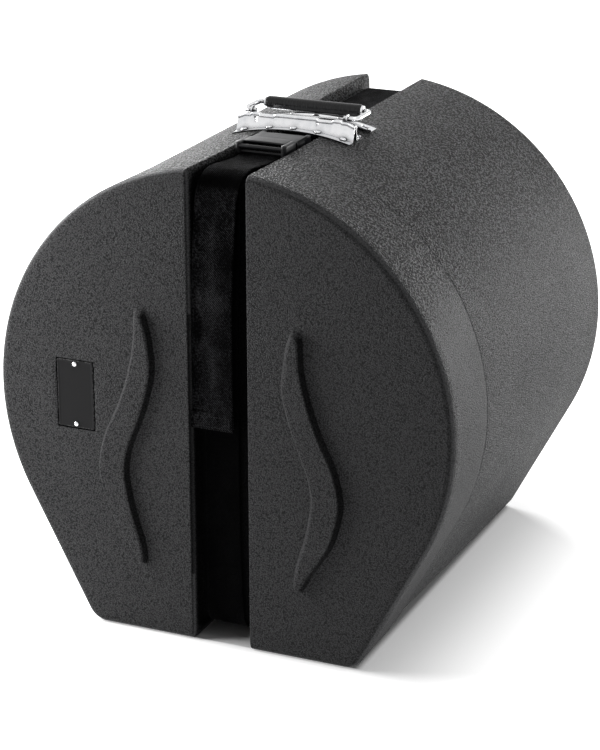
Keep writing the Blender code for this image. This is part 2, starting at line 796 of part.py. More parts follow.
def half_section_solid(rings, side, limits):
    """A lofted section cut down to one side by planes, each a point and the way that is kept."""
    work = loft(rings)
    for point, keep in limits:
        everything = work.verts[:] + work.edges[:] + work.faces[:]
        cut = bmesh.ops.bisect_plane(work, geom=everything, plane_co=point, plane_no=keep, clear_inner=True)
        edges = [item for item in cut["geom_cut"] if isinstance(item, bmesh.types.BMEdge)]
        bmesh.ops.edgenet_fill(work, edges=edges)
    if side < 0:
        bmesh.ops.scale(work, vec=(-1, 1, 1), verts=work.verts[:])
    return work


def make_foam():
    """Face pads either side of the channel, wall pads round the circle and two cradles in the lower corners."""
    lining = wall + seat_gap
    slot = channel_width / 2 + wall + foam_slot_margin
    keep_right = [((slot, 0, 0), (1, 0, 0))]
    near, far = front_y + lining + rivet_tail_height, rear_y - lining
    for label, side in (("left", -1), ("right", 1)):
        lid_rings_of_foam = [shell_ring(y, lining) for y in (near, near + foam_thickness)]
        add_part("lid_foam_" + label, half_section_solid(lid_rings_of_foam, side, keep_right), foam())
        base_rings_of_foam = [shell_ring(y, lining) for y in (far - foam_thickness, far)]
        add_part("base_foam_" + label, half_section_solid(base_rings_of_foam, side, keep_right), foam())
    start, end = rim_y + wall + pad_end_gap, far - foam_thickness - pad_end_gap
    hollow = case_radius - rim_draft - lining - pad_thickness
    beside_rivets = outer_rivet_x + rivet_tail_radius + pad_rivet_gap
    upper = (math.radians(pad_upper_start_degrees), math.acos(beside_rivets / (case_radius - lining)))
    lower = tuple(math.radians(angle) for angle in pad_lower_degrees)
    pads = {"wall_pad_right_upper": upper, "wall_pad_left_upper": (math.pi - upper[1], math.pi - upper[0]),
            "wall_pad_right_lower": lower, "wall_pad_left_lower": (math.pi - lower[1], math.pi - lower[0])}
    for name, (low, high) in pads.items():
        rings = []
        for y in (start, end):
            outline = arc((0, circle_height), case_radius - outline_inset(y) - lining, low, high, pad_steps)
            outline += arc((0, circle_height), hollow, high, low, pad_steps)
            rings.append([(x, y, z) for x, z in outline])
        add_part(name, loft(rings), foam())
    foot_y = rear_y - rear_foot_length
    for label, side in (("left", -1), ("right", 1)):
        rings = [shell_ring(y, lining) for y in (start, foot_y, end)]
        work = half_section_solid(rings, side, [((cradle_inner_x, 0, 0), (1, 0, 0)), ((0, 0, cradle_top), (0, 0, -1))])
        cradle = add_part("cradle_" + label, work, foam())
        drum = cylinder((0, (start + end) / 2, circle_height), (0, 1, 0), hollow, end - start + overrun, circle_steps)
        combine(cradle, add_cutter("drum_round_" + label, drum), "DIFFERENCE")


clear_scene()
case_parts = collection("drum_case")
cutters = collection("cutters")
channel = channel_cutter("channel", 0)
channel_and_wall = channel_cutter("channel_and_wall", wall)
channel_and_neck_room = channel_cutter("channel_and_neck_room", wall + neck_clearance)
channel_and_neck = channel_cutter("channel_and_neck", wall + neck_clearance + neck_wall)
make_lid()
make_base()
make_name_plate()
make_handle_plate()
make_bail()
make_strap()
make_buckle()
make_foam()
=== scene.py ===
"""Drum case: the dressed model of a hard moulded case that is closed by a buckled strap round its middle. Metres,
+Z up, +X to the right seen from the lid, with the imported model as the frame."""
import math

import bmesh
import bpy
import numpy as np
from mathutils import Matrix, Vector


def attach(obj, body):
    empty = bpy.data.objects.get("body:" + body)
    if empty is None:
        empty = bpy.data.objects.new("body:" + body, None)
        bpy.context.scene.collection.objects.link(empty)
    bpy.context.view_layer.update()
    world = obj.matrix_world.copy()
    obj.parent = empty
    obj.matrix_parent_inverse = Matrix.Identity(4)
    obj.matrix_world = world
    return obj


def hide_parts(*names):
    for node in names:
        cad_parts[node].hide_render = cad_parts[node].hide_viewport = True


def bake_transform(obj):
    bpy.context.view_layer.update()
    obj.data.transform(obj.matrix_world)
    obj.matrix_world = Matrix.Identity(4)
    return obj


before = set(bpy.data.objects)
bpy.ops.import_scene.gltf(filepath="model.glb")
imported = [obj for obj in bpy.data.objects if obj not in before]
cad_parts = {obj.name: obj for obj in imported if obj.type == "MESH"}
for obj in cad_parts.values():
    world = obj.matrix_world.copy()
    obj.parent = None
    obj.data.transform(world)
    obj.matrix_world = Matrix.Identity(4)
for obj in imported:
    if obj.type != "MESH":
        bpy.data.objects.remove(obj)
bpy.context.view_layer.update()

# ---------------------------------------------------------------------------------------------------------------
# Camera: a long lens, a little above the case and to the right of its lid, as in a catalogue picture.
camera_aim = Vector((0.0641, -0.1845, 0.3185))
camera_azimuth, camera_height, camera_roll = math.radians(23.866), math.radians(19.608), math.radians(-0.122)
camera_distance = 2.7326
camera_lens, camera_sensor = 113.93, 36


def add_object(name, data):
    """A named object in the scene."""
    made = bpy.data.objects.new(name, data)
    bpy.context.scene.collection.objects.link(made)
    return made


backwards = Vector((math.sin(camera_azimuth) * math.cos(camera_height),
                    -math.cos(camera_azimuth) * math.cos(camera_height), math.sin(camera_height)))
level_right = (-backwards).cross(Vector((0, 0, 1))).normalized()
level_up = backwards.cross(level_right)
right = level_right * math.cos(camera_roll) + level_up * math.sin(camera_roll)
up = level_up * math.cos(camera_roll) - level_right * math.sin(camera_roll)
camera_data = bpy.data.cameras.new("camera")
camera_data.lens = camera_lens
camera_data.sensor_fit = "VERTICAL"
camera_data.sensor_height = camera_sensor
camera_data.clip_end = 50
camera = add_object("camera", camera_data)
camera.matrix_world = Matrix.Translation(camera_aim + backwards * camera_distance) @ Matrix(
    (right, up, backwards)).transposed().to_4x4()
bpy.context.scene.camera = camera

# ---------------------------------------------------------------------------------------------------------------
# Studio: a pale floor that keeps the case's shadow and glows white to the camera away from the case, so that a painted
# shadow fades in round it; a white surround, and large soft lamps over and beside the case.


class Value:
    """A number, colour or direction in a material; arithmetic on it adds Math nodes."""

    def __init__(self, finish, socket):
        self.finish, self.socket = finish, socket

    def worked(self, operation, *values):
        return self.finish.node("ShaderNodeMath", {"operation": operation}, dict(enumerate(values)))

    def __add__(self, other):
        return self.worked("ADD", self, other)

    def __sub__(self, other):
        return self.worked("SUBTRACT", self, other)

    def __rsub__(self, other):
        return self.worked("SUBTRACT", other, self)

    def __mul__(self, other):
        return self.worked("MULTIPLY", self, other)

    def __truediv__(self, other):
        return self.worked("DIVIDE", self, other)

    def __pow__(self, other):
        return self.worked("POWER", self, other)

    __radd__, __rmul__ = __add__, __mul__

    def clipped(self):
        return self.worked("MAXIMUM", self.worked("MINIMUM", self, 1), 0)

    def largest(self, other):
        return self.worked("MAXIMUM", self, other)

    def sine(self):
        return self.worked("SINE", self)

    def size(self):
        return self.worked("ABSOLUTE", self)

    def eased(self, start, end):
        """0 before start, 1 after end, and a smooth step between them."""
        return self.finish.node("ShaderNodeMapRange", {"interpolation_type": "SMOOTHSTEP"},
                                {"Value": self, "From Min": start, "From Max": end})


class Finish:
    """A material of the case and the nodes that make up its look."""

    def __init__(self, name, tree=None):
        if tree is None:
            self.material = bpy.data.materials.new(name)
            self.material.use_nodes = True
            tree = self.material.node_tree
        self.tree = tree
        self.shader = tree.nodes.get("Principled BSDF")

    def node(self, kind, settings=None, sockets=None, output=0):
        """Any node: its settings are set first, then its sockets get their values or links."""
        made = self.tree.nodes.new(kind)
        for setting, value in (settings or {}).items():
            setattr(made, setting, value)
        for name, value in (sockets or {}).items():
            self.feed(made.inputs[name], value)
        return Value(self, made.outputs[output])

    def feed(self, socket, value):
        if isinstance(value, Value):
            self.tree.links.new(value.socket, socket)
        elif hasattr(value, "__len__") and socket.type == "RGBA" and len(value) == 3:
            socket.default_value = (*value, 1)
        else:
            socket.default_value = value

    def look(self, **sockets):
        """Sets the shader's own sockets; an underscore stands for a space."""
        for name, value in sockets.items():
            self.feed(self.shader.inputs[name.replace("_", " ")], value)
        return self

    def shaded(self, share, colour):
        """Mixes in a bare dull colour, which has no gloss, where the share is high: painted shade."""
        dull = self.node("ShaderNodeBsdfDiffuse", sockets={"Color": (*colour, 1)})
        both = self.node("ShaderNodeMixShader", sockets={0: share, 1: Value(self, self.shader.outputs[0]), 2: dull})
        self.feed(self.tree.nodes["Material Output"].inputs["Surface"], both)
        return self

    def place(self):
        return self.node("ShaderNodeTexCoord", output="Object")

    def parts(self, vector):
        """The x, y and z of a place."""
        split = self.node("ShaderNodeSeparateXYZ", sockets={0: vector}).socket.node
        return [Value(self, socket) for socket in split.outputs]

    def stretched(self, vector, x, y, z):
        return self.node("ShaderNodeVectorMath", {"operation": "MULTIPLY"}, {0: vector, 1: (x, y, z)})

    def mixed(self, share, first, second):
        return self.node("ShaderNodeMix", {"data_type": "RGBA"}, {0: share, 6: first, 7: second}, 2)

    def noise(self, vector, scale, detail=2, roughness=0.5):
        return self.node("ShaderNodeTexNoise", sockets={"Vector": vector, "Scale": scale, "Detail": detail,
                                                        "Roughness": roughness})

    def bumped(self, height, distance, strength=1.0):
        return self.node("ShaderNodeBump", sockets={"Height": height, "Distance": distance, "Strength": strength})


floor_size = 14
floor_shade = (0.88, 0.88, 0.88)
floor_glow = 1.0
contact_glow, contact_painted_shadow_reach, painted_shadow_reach = 0.34, 0.012, 0.21
foot_half_x, foot_half_y, painted_shadow_shortening = 0.165, 0.262, 6
world_fill = 0.085
# each lamp: its place, what it is aimed at, its width and its watts
lamps = {"lamp_over": ((0.6, -0.3, 2.5), (0.0, -0.1, 0.3), 1.4, 4.6),
         "lamp_rear": ((-1.9, 1.5, 1.3), (0.0, 0.1, 0.4), 1.6, 84),
         "lamp_right": ((1.5, 2.7, 0.22), (0.1, 0.15, 0.12), 1.3, 66),
         "lamp_left": ((-0.82, -0.50, 0.56), (-0.1, -0.2, 0.3), 0.5, 10.1)}

floor_mesh = bpy.data.meshes.new("floor")
half_floor = floor_size / 2
floor_mesh.from_pydata([(-half_floor, -half_floor, 0), (half_floor, -half_floor, 0), (half_floor, half_floor, 0),
                        (-half_floor, half_floor, 0)], [], [(0, 1, 2, 3)])
floor = add_object("floor", floor_mesh)
floor_finish = Finish("floor")


def seen_directly(finish):
    """1 for what the camera sees, straight, through glass or in a mirror, and 0 for light that falls on surfaces."""
    rays = finish.node("ShaderNodeLightPath").socket.node
    camera_ray, glossy, through = (Value(finish, rays.outputs[name]) for name in
                                   ("Is Camera Ray", "Is Glossy Ray", "Is Transmission Ray"))
    return camera_ray.largest(glossy).largest(through)


# Painted shadow: the floor's glow is nil under the case and grows with distance from it, quickly on the left and front
# and slowly to the right and rear.
floor_x, floor_y, _ = floor_finish.parts(floor_finish.place())
to_right = (floor_x - foot_half_x).largest(0)
to_left = (0 - floor_x - foot_half_x).largest(0) * painted_shadow_shortening
to_rear = (floor_y - foot_half_y).largest(0)
to_front = (0 - floor_y - foot_half_y).largest(0) * painted_shadow_shortening
away_from_case = ((to_right + to_left) ** 2 + (to_rear + to_front) ** 2) ** 0.5
near_glow = away_from_case.eased(0, contact_painted_shadow_reach) * contact_glow
far_glow = (1 - contact_glow) * away_from_case.eased(0, painted_shadow_reach)
glow = seen_directly(floor_finish) * (near_glow + far_glow)
floor_finish.look(Base_Color=floor_shade, Roughness=0.9, Emission_Strength=1.0,
                  Emission_Color=floor_finish.mixed(glow, (0, 0, 0), (floor_glow,) * 3))
floor_mesh.materials.append(floor_finish.material)

world = bpy.data.worlds.new("surround")
world.use_nodes = True
bpy.context.scene.world = world
surround = Finish("surround", world.node_tree)
dim = surround.node("ShaderNodeBackground", sockets={"Color": (1, 1, 1), "Strength": world_fill})
white = surround.node("ShaderNodeBackground", sockets={"Color": (1, 1, 1), "Strength": 1.0})
both = surround.node("ShaderNodeMixShader", sockets={0: seen_directly(surround), 1: dim, 2: white})
surround.feed(world.node_tree.nodes["World Output"].inputs["Surface"], both)

for lamp_name, (place, aim, width, watts) in lamps.items():
    lamp_data = bpy.data.lights.new(lamp_name, "AREA")
    lamp_data.shape, lamp_data.size, lamp_data.energy = "DISK", width, watts
    lamp = add_object(lamp_name, lamp_data)
    lamp.location = place
    lamp.rotation_euler = (Vector(aim) - Vector(place)).to_track_quat("-Z", "Y").to_euler()
bpy.context.scene.view_settings.view_transform = "Standard"

# ---------------------------------------------------------------------------------------------------------------
# Lid and base shells: black polyethylene, moulded hollow with a pebbled skin, round with a flat bottom. A channel
# for the strap runs round the middle. The base's neck slides inside the lid, and both faces carry two S-shaped ribs.
case_radius, circle_height, bottom_half_width = 0.285, 0.2895, 0.170
front_y, rear_y, rim_y = -0.270, 0.270, -0.155
case_top = circle_height + case_radius
wall, neck_wall, neck_clearance, neck_length = 0.005, 0.004, 0.002, 0.085
face_edge_radius, corner_radius, inner_edge_radius, rim_edge_radius = 0.009, 0.026, 0.008, 0.0006
rim_draft, rim_bottom, foot_ramp_length, rear_foot_length = 0.002, 0.020, 0.034, 0.060
channel_half_width, channel_half_floor, channel_depth, channel_floor_radius = 0.0365, 0.0325, 0.016, 0.024
channel_edge_blur, channel_edge_samples, channel_turn_reach = 0.0017, 9, 0.060
rib_height, rib_length, rib_bottom, rib_inner_x, rib_sway, rib_half_width = 0.008, 0.312, 0.088, 0.094, 0.041, 0.0205
rib_rise_shares = (0.000, 0.012, 0.030, 0.060, 0.119, 0.199, 0.279, 0.359, 0.439, 0.519,
                   0.599, 0.679, 0.776, 0.872, 0.940, 0.975, 0.990, 1.000)
rib_sway_shares = (0.15, 0.16, 0.19, 0.26, 0.46, 0.73, 0.90, 1.00, 0.93, 0.73,
                   0.46, 0.24, 0.05, 0.00, 0.03, 0.06, 0.07, 0.07)
rib_width_shares = (0.22, 0.33, 0.41, 0.51, 0.70, 0.88, 0.95, 0.98, 0.98, 1.00,
                    0.95, 0.90, 0.83, 0.63, 0.50, 0.41, 0.34, 0.24)
rib_flank, rib_foot, rib_round = 0.0046, 0.0004, 0.22
plate_x, plate_z, plate_width, plate_height = -0.184, 0.2875, 0.047, 0.083
plate_thickness, pocket_margin = 0.0015, 0.001
inner_round, seam_gap = 0.001, 0.0003
inside_step, lid_step, base_step = 0.02, 0.006, 0.008
shell_smooth_angle = 50

side_angle = math.atan2(-circle_height, bottom_half_width) + math.acos(
    case_radius / math.hypot(circle_height, bottom_half_width))


def eased(value, start, end):
    """0 before start, 1 after end, and a smooth step between them."""
    share = np.clip((np.asarray(value, float) - start) / (end - start), 0, 1)
    return share * share * (3 - 2 * share)


def smooth_table(places, values, at):
    """Values between a table's entries on a smooth curve through them."""
    places, values = np.asarray(places, float), np.asarray(values, float)
    slopes = np.gradient(values, places)
    at = np.clip(np.asarray(at, float), places[0], places[-1])
    step = np.clip(np.searchsorted(places, at, side="right") - 1, 0, len(places) - 2)
    length = places[step + 1] - places[step]
    t = (at - places[step]) / length
    return ((1 + 2 * t) * (1 - t) ** 2 * values[step] + t * (1 - t) ** 2 * length * slopes[step]
            + t * t * (3 - 2 * t) * values[step + 1] - t * t * (1 - t) * length * slopes[step + 1])


def spread(*stretches):
    """Places along a line: each stretch is (end, step), from the end of the one before."""
    places = [0.0]
    for end, step in stretches:
        count = max(1, round((end - places[-1]) / step))
        start = places[-1]
        places += [start + (end - start) * (i + 1) / count for i in range(count)]
    return places


def column_places():
    """Places across the case: close together at the channel's walls and the ribs' flanks."""
    rib_middle = rib_inner_x + rib_sway / 2
    half = spread((0.024, 0.006), (0.030, 0.002), (0.0395, 0.00055), (0.044, 0.0015), (0.060, 0.004),
                  (rib_middle - rib_half_width - 0.003, 0.004), (rib_middle - rib_half_width + 0.006, 0.0007),
                  (rib_middle + rib_half_width - 0.006, 0.003), (rib_middle + rib_half_width + 0.003, 0.0007),
                  (-plate_x - plate_width / 2 - pocket_margin - 0.0006, 0.003),
                  (-plate_x - plate_width / 2 + 0.0002, 0.0004),
                  (-plate_x + plate_width / 2 - 0.0002, 0.004),
                  (-plate_x + plate_width / 2 + pocket_margin + 0.0006, 0.0004))
    angle = math.asin(half[-1] / case_radius)
    steps = 30
    half += [case_radius * math.sin(angle + (math.pi / 2 - angle) * (i + 1) / steps) for i in range(steps)]
    half[-1] = case_radius
    return np.array([-x for x in half[:0:-1]] + half)


columns = column_places()
column_count = len(columns)


def channel_share(x, grow):
    """How far down the channel's wall a place across the case is: 0 on the case, 1 on the floor."""
    total = 0
    for shift in np.linspace(-channel_edge_blur, channel_edge_blur, channel_edge_samples):
        edge = channel_half_width + grow - np.abs(x) + shift
        total = total + np.clip(edge / (channel_half_width - channel_half_floor), 0, 1)
    return total / channel_edge_samples


def lower_height(x, inset, bottom):
    """Height of the case's lower outline: flat bottom, rounded corner, straight side and the circle's lower part."""
    radius = case_radius - inset
    corner = max(corner_radius - inset, wall)
    centre_z = bottom + corner
    centre_x = (radius - corner - math.sin(side_angle) * (centre_z - circle_height)) / math.cos(side_angle)
    x = np.abs(x)
    corner_end = (centre_x + corner * math.cos(side_angle), centre_z + corner * math.sin(side_angle))
    side_end = (radius * math.cos(side_angle), circle_height + radius * math.sin(side_angle))
    height = circle_height - np.sqrt(np.maximum(radius ** 2 - x ** 2, 0))
    along = (x - corner_end[0]) / (side_end[0] - corner_end[0])
    height = np.where(x < side_end[0], corner_end[1] + along * (side_end[1] - corner_end[1]), height)
    round_part = centre_z - np.sqrt(np.maximum(corner ** 2 - (x - centre_x) ** 2, 0))
    height = np.where(x < corner_end[0], round_part, height)
    return np.where(x < centre_x, bottom, height)


def outline_inset(y):
    """How far the draft of the moulding draws the case in: nothing at a face, all of it at the rim."""
    share = (y - front_y) / (rim_y - front_y) if y < rim_y else (rear_y - y) / (rear_y - rim_y)
    return rim_draft * share


def underside(y):
    """Height of the underside: on the floor under the lid's face and at the rear foot, raised towards the rim."""
    foot_y = rear_y - rear_foot_length
    if y >= rim_y:
        return rim_bottom * max(0, foot_y - y) / (foot_y - rim_y)
    along = max(0, y - rim_y + foot_ramp_length) / foot_ramp_length
    return rim_bottom * (1 - math.sqrt(1 - along ** 2))


def ring(y, section_y, edge_inset, grow, floor_y, floor_drop):
    """One ring of a skin, as its upper and lower row of points. The section is drawn in by edge_inset, the channel is
    grown by grow, and its floor lies floor_drop inside the case's outline at floor_y."""
    inset = outline_inset(section_y) + edge_inset
    bottom = underside(section_y) + edge_inset
    towards_side = eased(np.abs(columns), 0.045, case_radius)
    beside = eased(np.abs(columns), 0.012, 0.028) * (1 - eased(np.abs(columns), 0.046, 0.110))
    x = columns * (1 - towards_side * inset / case_radius) + np.sign(columns) * grow * beside
    x[0], x[-1] = inset - case_radius, case_radius - inset
    share = channel_share(x, grow)
    top = circle_height + np.sqrt(np.maximum((case_radius - inset) ** 2 - x ** 2, 0))
    low = lower_height(x, inset, bottom)
    place_y = y + (floor_y - y) * share
    upper_row = np.stack([x, place_y, top + (case_top - floor_drop - top) * share], 1)
    lower_row = np.stack([x, place_y, np.maximum(low, low + (floor_drop - low) * share)], 1)
    lower_row[0], lower_row[-1] = upper_row[0], upper_row[-1]
    return upper_row, lower_row


def side_ring(y, depth, section_y=None, face_y=None, start=0.0):
    """A ring on a side of the case, depth under its outer skin; near a face the channel's floor turns earlier."""
    floor_y = y
    if face_y is not None:
        away = abs(y - face_y)
        if away < channel_turn_reach:
            turn = channel_floor_radius + channel_depth
            away = channel_turn_reach - (channel_turn_reach - away) * (channel_turn_reach - turn) / (
                channel_turn_reach - start)
            floor_y = face_y + math.copysign(away, y - face_y)
    return ring(y, y if section_y is None else section_y, depth, depth, floor_y, channel_depth + depth)


def edge_rings(face_y, inward, depth, radius, steps):
    """Rings round the edge between a side and a face, from the side to the face."""
    turn = channel_floor_radius + channel_depth
    floor_radius = channel_floor_radius - depth
    rings = []
    for i in range(steps + 1):
        angle = math.pi / 2 * i / steps
        y = face_y + inward * (depth + radius * (1 - math.sin(angle)))
        rings.append(ring(y, y, depth + radius * (1 - math.cos(angle)), depth,
                          face_y + inward * (turn - floor_radius * math.sin(angle)),
                          turn - floor_radius * math.cos(angle)))
    return rings


def rib_middle_at(z):
    """Distance of a rib's middle line from the middle of the case."""
    rise = (z - rib_bottom) / rib_length
    return rib_inner_x + rib_sway * smooth_table(rib_rise_shares, rib_sway_shares, rise)


def rib_half_at(z):
    """Half a rib's width."""
    rise = (z - rib_bottom) / rib_length
    return rib_half_width * smooth_table(rib_rise_shares, rib_width_shares, rise)


def rib_lift(x, z):
    """Height of the ribs over a face: a steep flank that rounds over to a soft crown."""
    inside = rib_half_at(z) - np.abs(np.abs(x) - rib_middle_at(z))
    inside = np.minimum(inside, np.minimum(z - rib_bottom, rib_bottom + rib_length - z) + 0.001)
    share = (inside + rib_foot) / (rib_flank + rib_foot)
    turn = np.clip(0.5 + 0.5 * (1 - share) / rib_round, 0, 1)
    risen = share * turn + (1 - turn) - rib_round * turn * (1 - turn)
    return rib_height * eased(inside, -rib_foot, 0.0006) ** 0.5 * np.clip(risen, 0, 1)


def pocket_sink(x, z):
    """Depth of the name plate's pocket below the lid's face."""
    beyond = np.maximum(np.abs(x - plate_x) - plate_width / 2, np.abs(z - plate_z) - plate_height / 2) - pocket_margin
    return (plate_thickness + 0.0003) * (1 - eased(beyond, -0.0004, 0.0003))


def face_rows(closing_ring, face_y, inward, depth, floor_depth, patterned):
    """Rows across a face, from the upper to the lower row of the ring that closes it."""
    upper_row, lower_row = closing_ring
    base_x, top, low = upper_row[:, 0], upper_row[:, 2], lower_row[:, 2]
    pocket_low, pocket_high = plate_z - plate_height / 2 - pocket_margin, plate_z + plate_height / 2 + pocket_margin
    band_low, band_high = 0.225, 0.355
    rib_top = rib_bottom + rib_length
    if patterned:  # close rows at the ends of the ribs and of the name plate's pocket
        below = spread((rib_bottom - 0.0125, 0.008), (rib_bottom + 0.009 - 0.0125, 0.0012), (band_low - 0.0125, 0.0045))
        above = spread((rib_top - 0.008 - band_high, 0.004), (rib_top + 0.002 - band_high, 0.0012), (0.2075, 0.0055))
        middle = spread((pocket_low - band_low - 0.0008, 0.0035), (pocket_low - band_low + 0.0008, 0.0004),
                        (pocket_high - band_low - 0.0008, 0.0035), (pocket_high - band_low + 0.0008, 0.0004),
                        (band_high - band_low, 0.0035))
    else:
        below, above, middle = spread((0.2125, 0.025)), spread((0.2075, 0.025)), spread((0.130, 0.026))
    shares = [(2, value / above[-1]) for value in above[::-1]][1:]
    shares += [(1, value / middle[-1]) for value in middle[::-1]][1:]
    shares += [(0, value / below[-1]) for value in below[::-1]][1:-1]
    spread_out = np.clip((top - circle_height) / 0.139, 0, 1)
    high_line = circle_height + (band_high - circle_height) * spread_out
    low_line = circle_height - (circle_height - band_low) * spread_out
    high_line = np.minimum(high_line, low + (top - low) * 0.70)
    low_line = np.maximum(low_line, low + (top - low) * 0.25)
    rows = []
    for part, share in shares:
        start, end = ((low, low_line), (low_line, high_line), (high_line, top))[part]
        z = start + (end - start) * share
        x = base_x.copy()
        if patterned:
            reach = np.abs(base_x)
            rib_column = rib_inner_x + rib_sway / 2
            away = reach - rib_column
            width_ratio = np.maximum(rib_half_at(z) / rib_half_width, 0.4)
            wanted = rib_middle_at(z) + away * width_ratio
            hold = (eased(reach, 0.046, rib_column - rib_half_width - 0.004)
                    * (1 - eased(reach, rib_column + rib_half_width + 0.004, 0.235)))
            fade = eased(z, rib_bottom - 0.070, rib_bottom) * (1 - eased(z, rib_top, rib_top + 0.100))
            x = np.sign(base_x) * (reach + (wanted - reach) * hold * fade)
        surface = np.full(len(x), 0.0)
        if patterned:
            surface = rib_lift(x, z)
            if inward > 0:
                surface = surface - pocket_sink(x, z)
        y = face_y + inward * (depth - surface)
        share_down = channel_share(x, depth)
        y = y + (face_y + inward * (floor_depth + depth) - y) * share_down
        turn = channel_floor_radius + channel_depth
        over = (z - low) / np.maximum(top - low, 1e-9)
        floor_z = turn + (case_top - 2 * turn) * over
        rows.append(np.stack([x, y, z + (floor_z - z) * share_down], 1))
    return rows


def add_piece(name, points, faces, material, smooth_angle=40, welded=True):
    """One named piece of the case from its points and faces, with its outside turned outwards."""
    mesh = bpy.data.meshes.new(name)
    mesh.from_pydata([tuple(map(float, point)) for point in points], [], [tuple(map(int, face)) for face in faces])
    work = bmesh.new()
    work.from_mesh(mesh)
    if welded:
        bmesh.ops.remove_doubles(work, verts=work.verts[:], dist=1e-7)
    bmesh.ops.recalc_face_normals(work, faces=work.faces[:])
    work.to_mesh(mesh)
    work.free()
    mesh.shade_smooth()
    mesh.set_sharp_from_angle(angle=math.radians(smooth_angle))
    mesh.materials.append(material)
    return add_object(name, mesh)


def skin_mesh(name, rings, first_rows, last_rows, material):
    """A closed shell: rings in order, with a grid of rows over the first and the last."""
    points, numbers = [], []
    total = 0
    for upper_row, lower_row in rings:
        points += [upper_row, lower_row[1:-1]]
        upper = np.arange(total, total + column_count)
        lower = np.concatenate([[upper[0]], np.arange(total + column_count, total + 2 * column_count - 2), [upper[-1]]])
        numbers.append((upper, lower))
        total += 2 * column_count - 2
    faces = []
    for (upper, lower), (next_upper, next_lower) in zip(numbers, numbers[1:]):
        for row, next_row in ((upper, next_upper), (lower, next_lower)):
            faces.append(np.stack([row[:-1], row[1:], next_row[1:], next_row[:-1]], 1))
    triangles = []
    for rows, (upper, lower) in ((first_rows, numbers[0]), (last_rows, numbers[-1])):
        lines = [upper]
        for row in rows:
            points.append(row[1:-1])
            lines.append(np.concatenate([[upper[0]], np.arange(total, total + column_count - 2), [upper[-1]]]))
            total += column_count - 2
        lines.append(lower)
        for near, far in zip(lines, lines[1:]):
            faces.append(np.stack([near[1:-2], near[2:-1], far[2:-1], far[1:-2]], 1))
            triangles += [(near[0], near[1], far[1]), (near[-2], near[-1], far[-2])]
    all_faces = np.concatenate(faces).tolist() + triangles
    return add_piece(name, np.concatenate(points), all_faces, material, shell_smooth_angle, welded=False)


def along(start, end, step):
    """Even places between two ends, which are left out."""
    count = max(2, round(abs(end - start) / step))
    return [start + (end - start) * i / count for i in range(1, count)]


def side_rings(places, depth, face_y, start):
    """Rings along a side of the case, depth under its outer skin."""
    return [side_ring(y, depth, None, face_y, start) for y in places]


def rim_edge(y, inward):
    """Rings round the outer edge of a shell's rim."""
    turns = [math.pi / 8 * i for i in range(5)]
    return [side_ring(y + inward * rim_edge_radius * (1 - math.cos(turn)),
                      rim_edge_radius * (1 - math.sin(turn)), rim_y) for turn in turns]


shell_low_shade, shell_high_shade = (0.002, 0.002, 0.0022), (0.070, 0.070, 0.073)
# On this line: the pale colour of a painted highlight on the faces' edges and the rim seam, and shaded_skin, the dull
# colour of painted shade.
painted_highlight_shade, shaded_skin = (0.17, 0.17, 0.175), (0.0012, 0.0012, 0.0013)
pebble_size, fine_pebble_size, coarse_pebble_size, pebble_height = 0.0016, 0.0010, 0.0021, 0.0018
shell_finish = Finish("shell_plastic")
spot = shell_finish.place()
across, depth_along, height_up = shell_finish.parts(spot)
facing_x, _, _ = shell_finish.parts(shell_finish.node("ShaderNodeNewGeometry", output="Normal"))
soft_warp = shell_finish.node("ShaderNodeTexNoise", sockets={"Vector": spot, "Scale": 160, "Detail": 1}, output="Color")
bent = shell_finish.node("ShaderNodeVectorMath", {"operation": "MULTIPLY_ADD"},
                         {0: soft_warp, 1: (0.0016, 0.0016, 0.0016), 2: spot})
pebbles = shell_finish.node("ShaderNodeTexVoronoi", {"feature": "SMOOTH_F1"},
                            {"Vector": bent, "Scale": 1 / pebble_size, "Smoothness": 0.35}, "Distance")
fine_pebbles = shell_finish.noise(bent, 1 / fine_pebble_size, 1, 0.5)
coarse_pebbles = shell_finish.noise(shell_finish.stretched(bent, 1.0, 0.55, 1.0), 1 / coarse_pebble_size, 1, 0.5)
patches = shell_finish.noise(spot, 9, 3)
on_face = depth_along.size().eased(rear_y - 0.012, rear_y - 0.002)
in_channel = 1 - across.size().eased(channel_half_width - 0.0028, channel_half_width - 0.0004)
near_rib = (1 - across.size().eased(0.166, 0.170)) * height_up.eased(rib_bottom - 0.006, rib_bottom - 0.002) * (
    1 - height_up.eased(rib_bottom + rib_length + 0.002, rib_bottom + rib_length + 0.006))
# Painted shade: on the faces, the rib flanks that face to the right are painted dark, broken up by the grain.
rib_flank_painted_shade = near_rib * on_face * facing_x.eased(0.55, 0.88) * (0.50 + 0.45 * fine_pebbles)
band = depth_along.eased(front_y + 0.014, front_y + 0.026) * (1 - depth_along.eased(rim_y - 0.003, rim_y + 0.001))
# Painted light: on the upper sides the grain's colour contrast, and its bump, are made much stronger, standing in for
# light that grazes the top.
upper_side_painted_light = height_up.eased(0.40, 0.56) * (1 - on_face)
grain = (1 - pebbles) * 0.8 + fine_pebbles * 0.4
grain_depth = (1 - 0.35 * on_face - 0.55 * band + 0.6 * upper_side_painted_light) * (0.8 + 0.4 * patches)
side_grain_with_painted_light = (coarse_pebbles - 0.5) * (0.9 - 0.7 * band + 10.5 * upper_side_painted_light) * (1 - on_face)
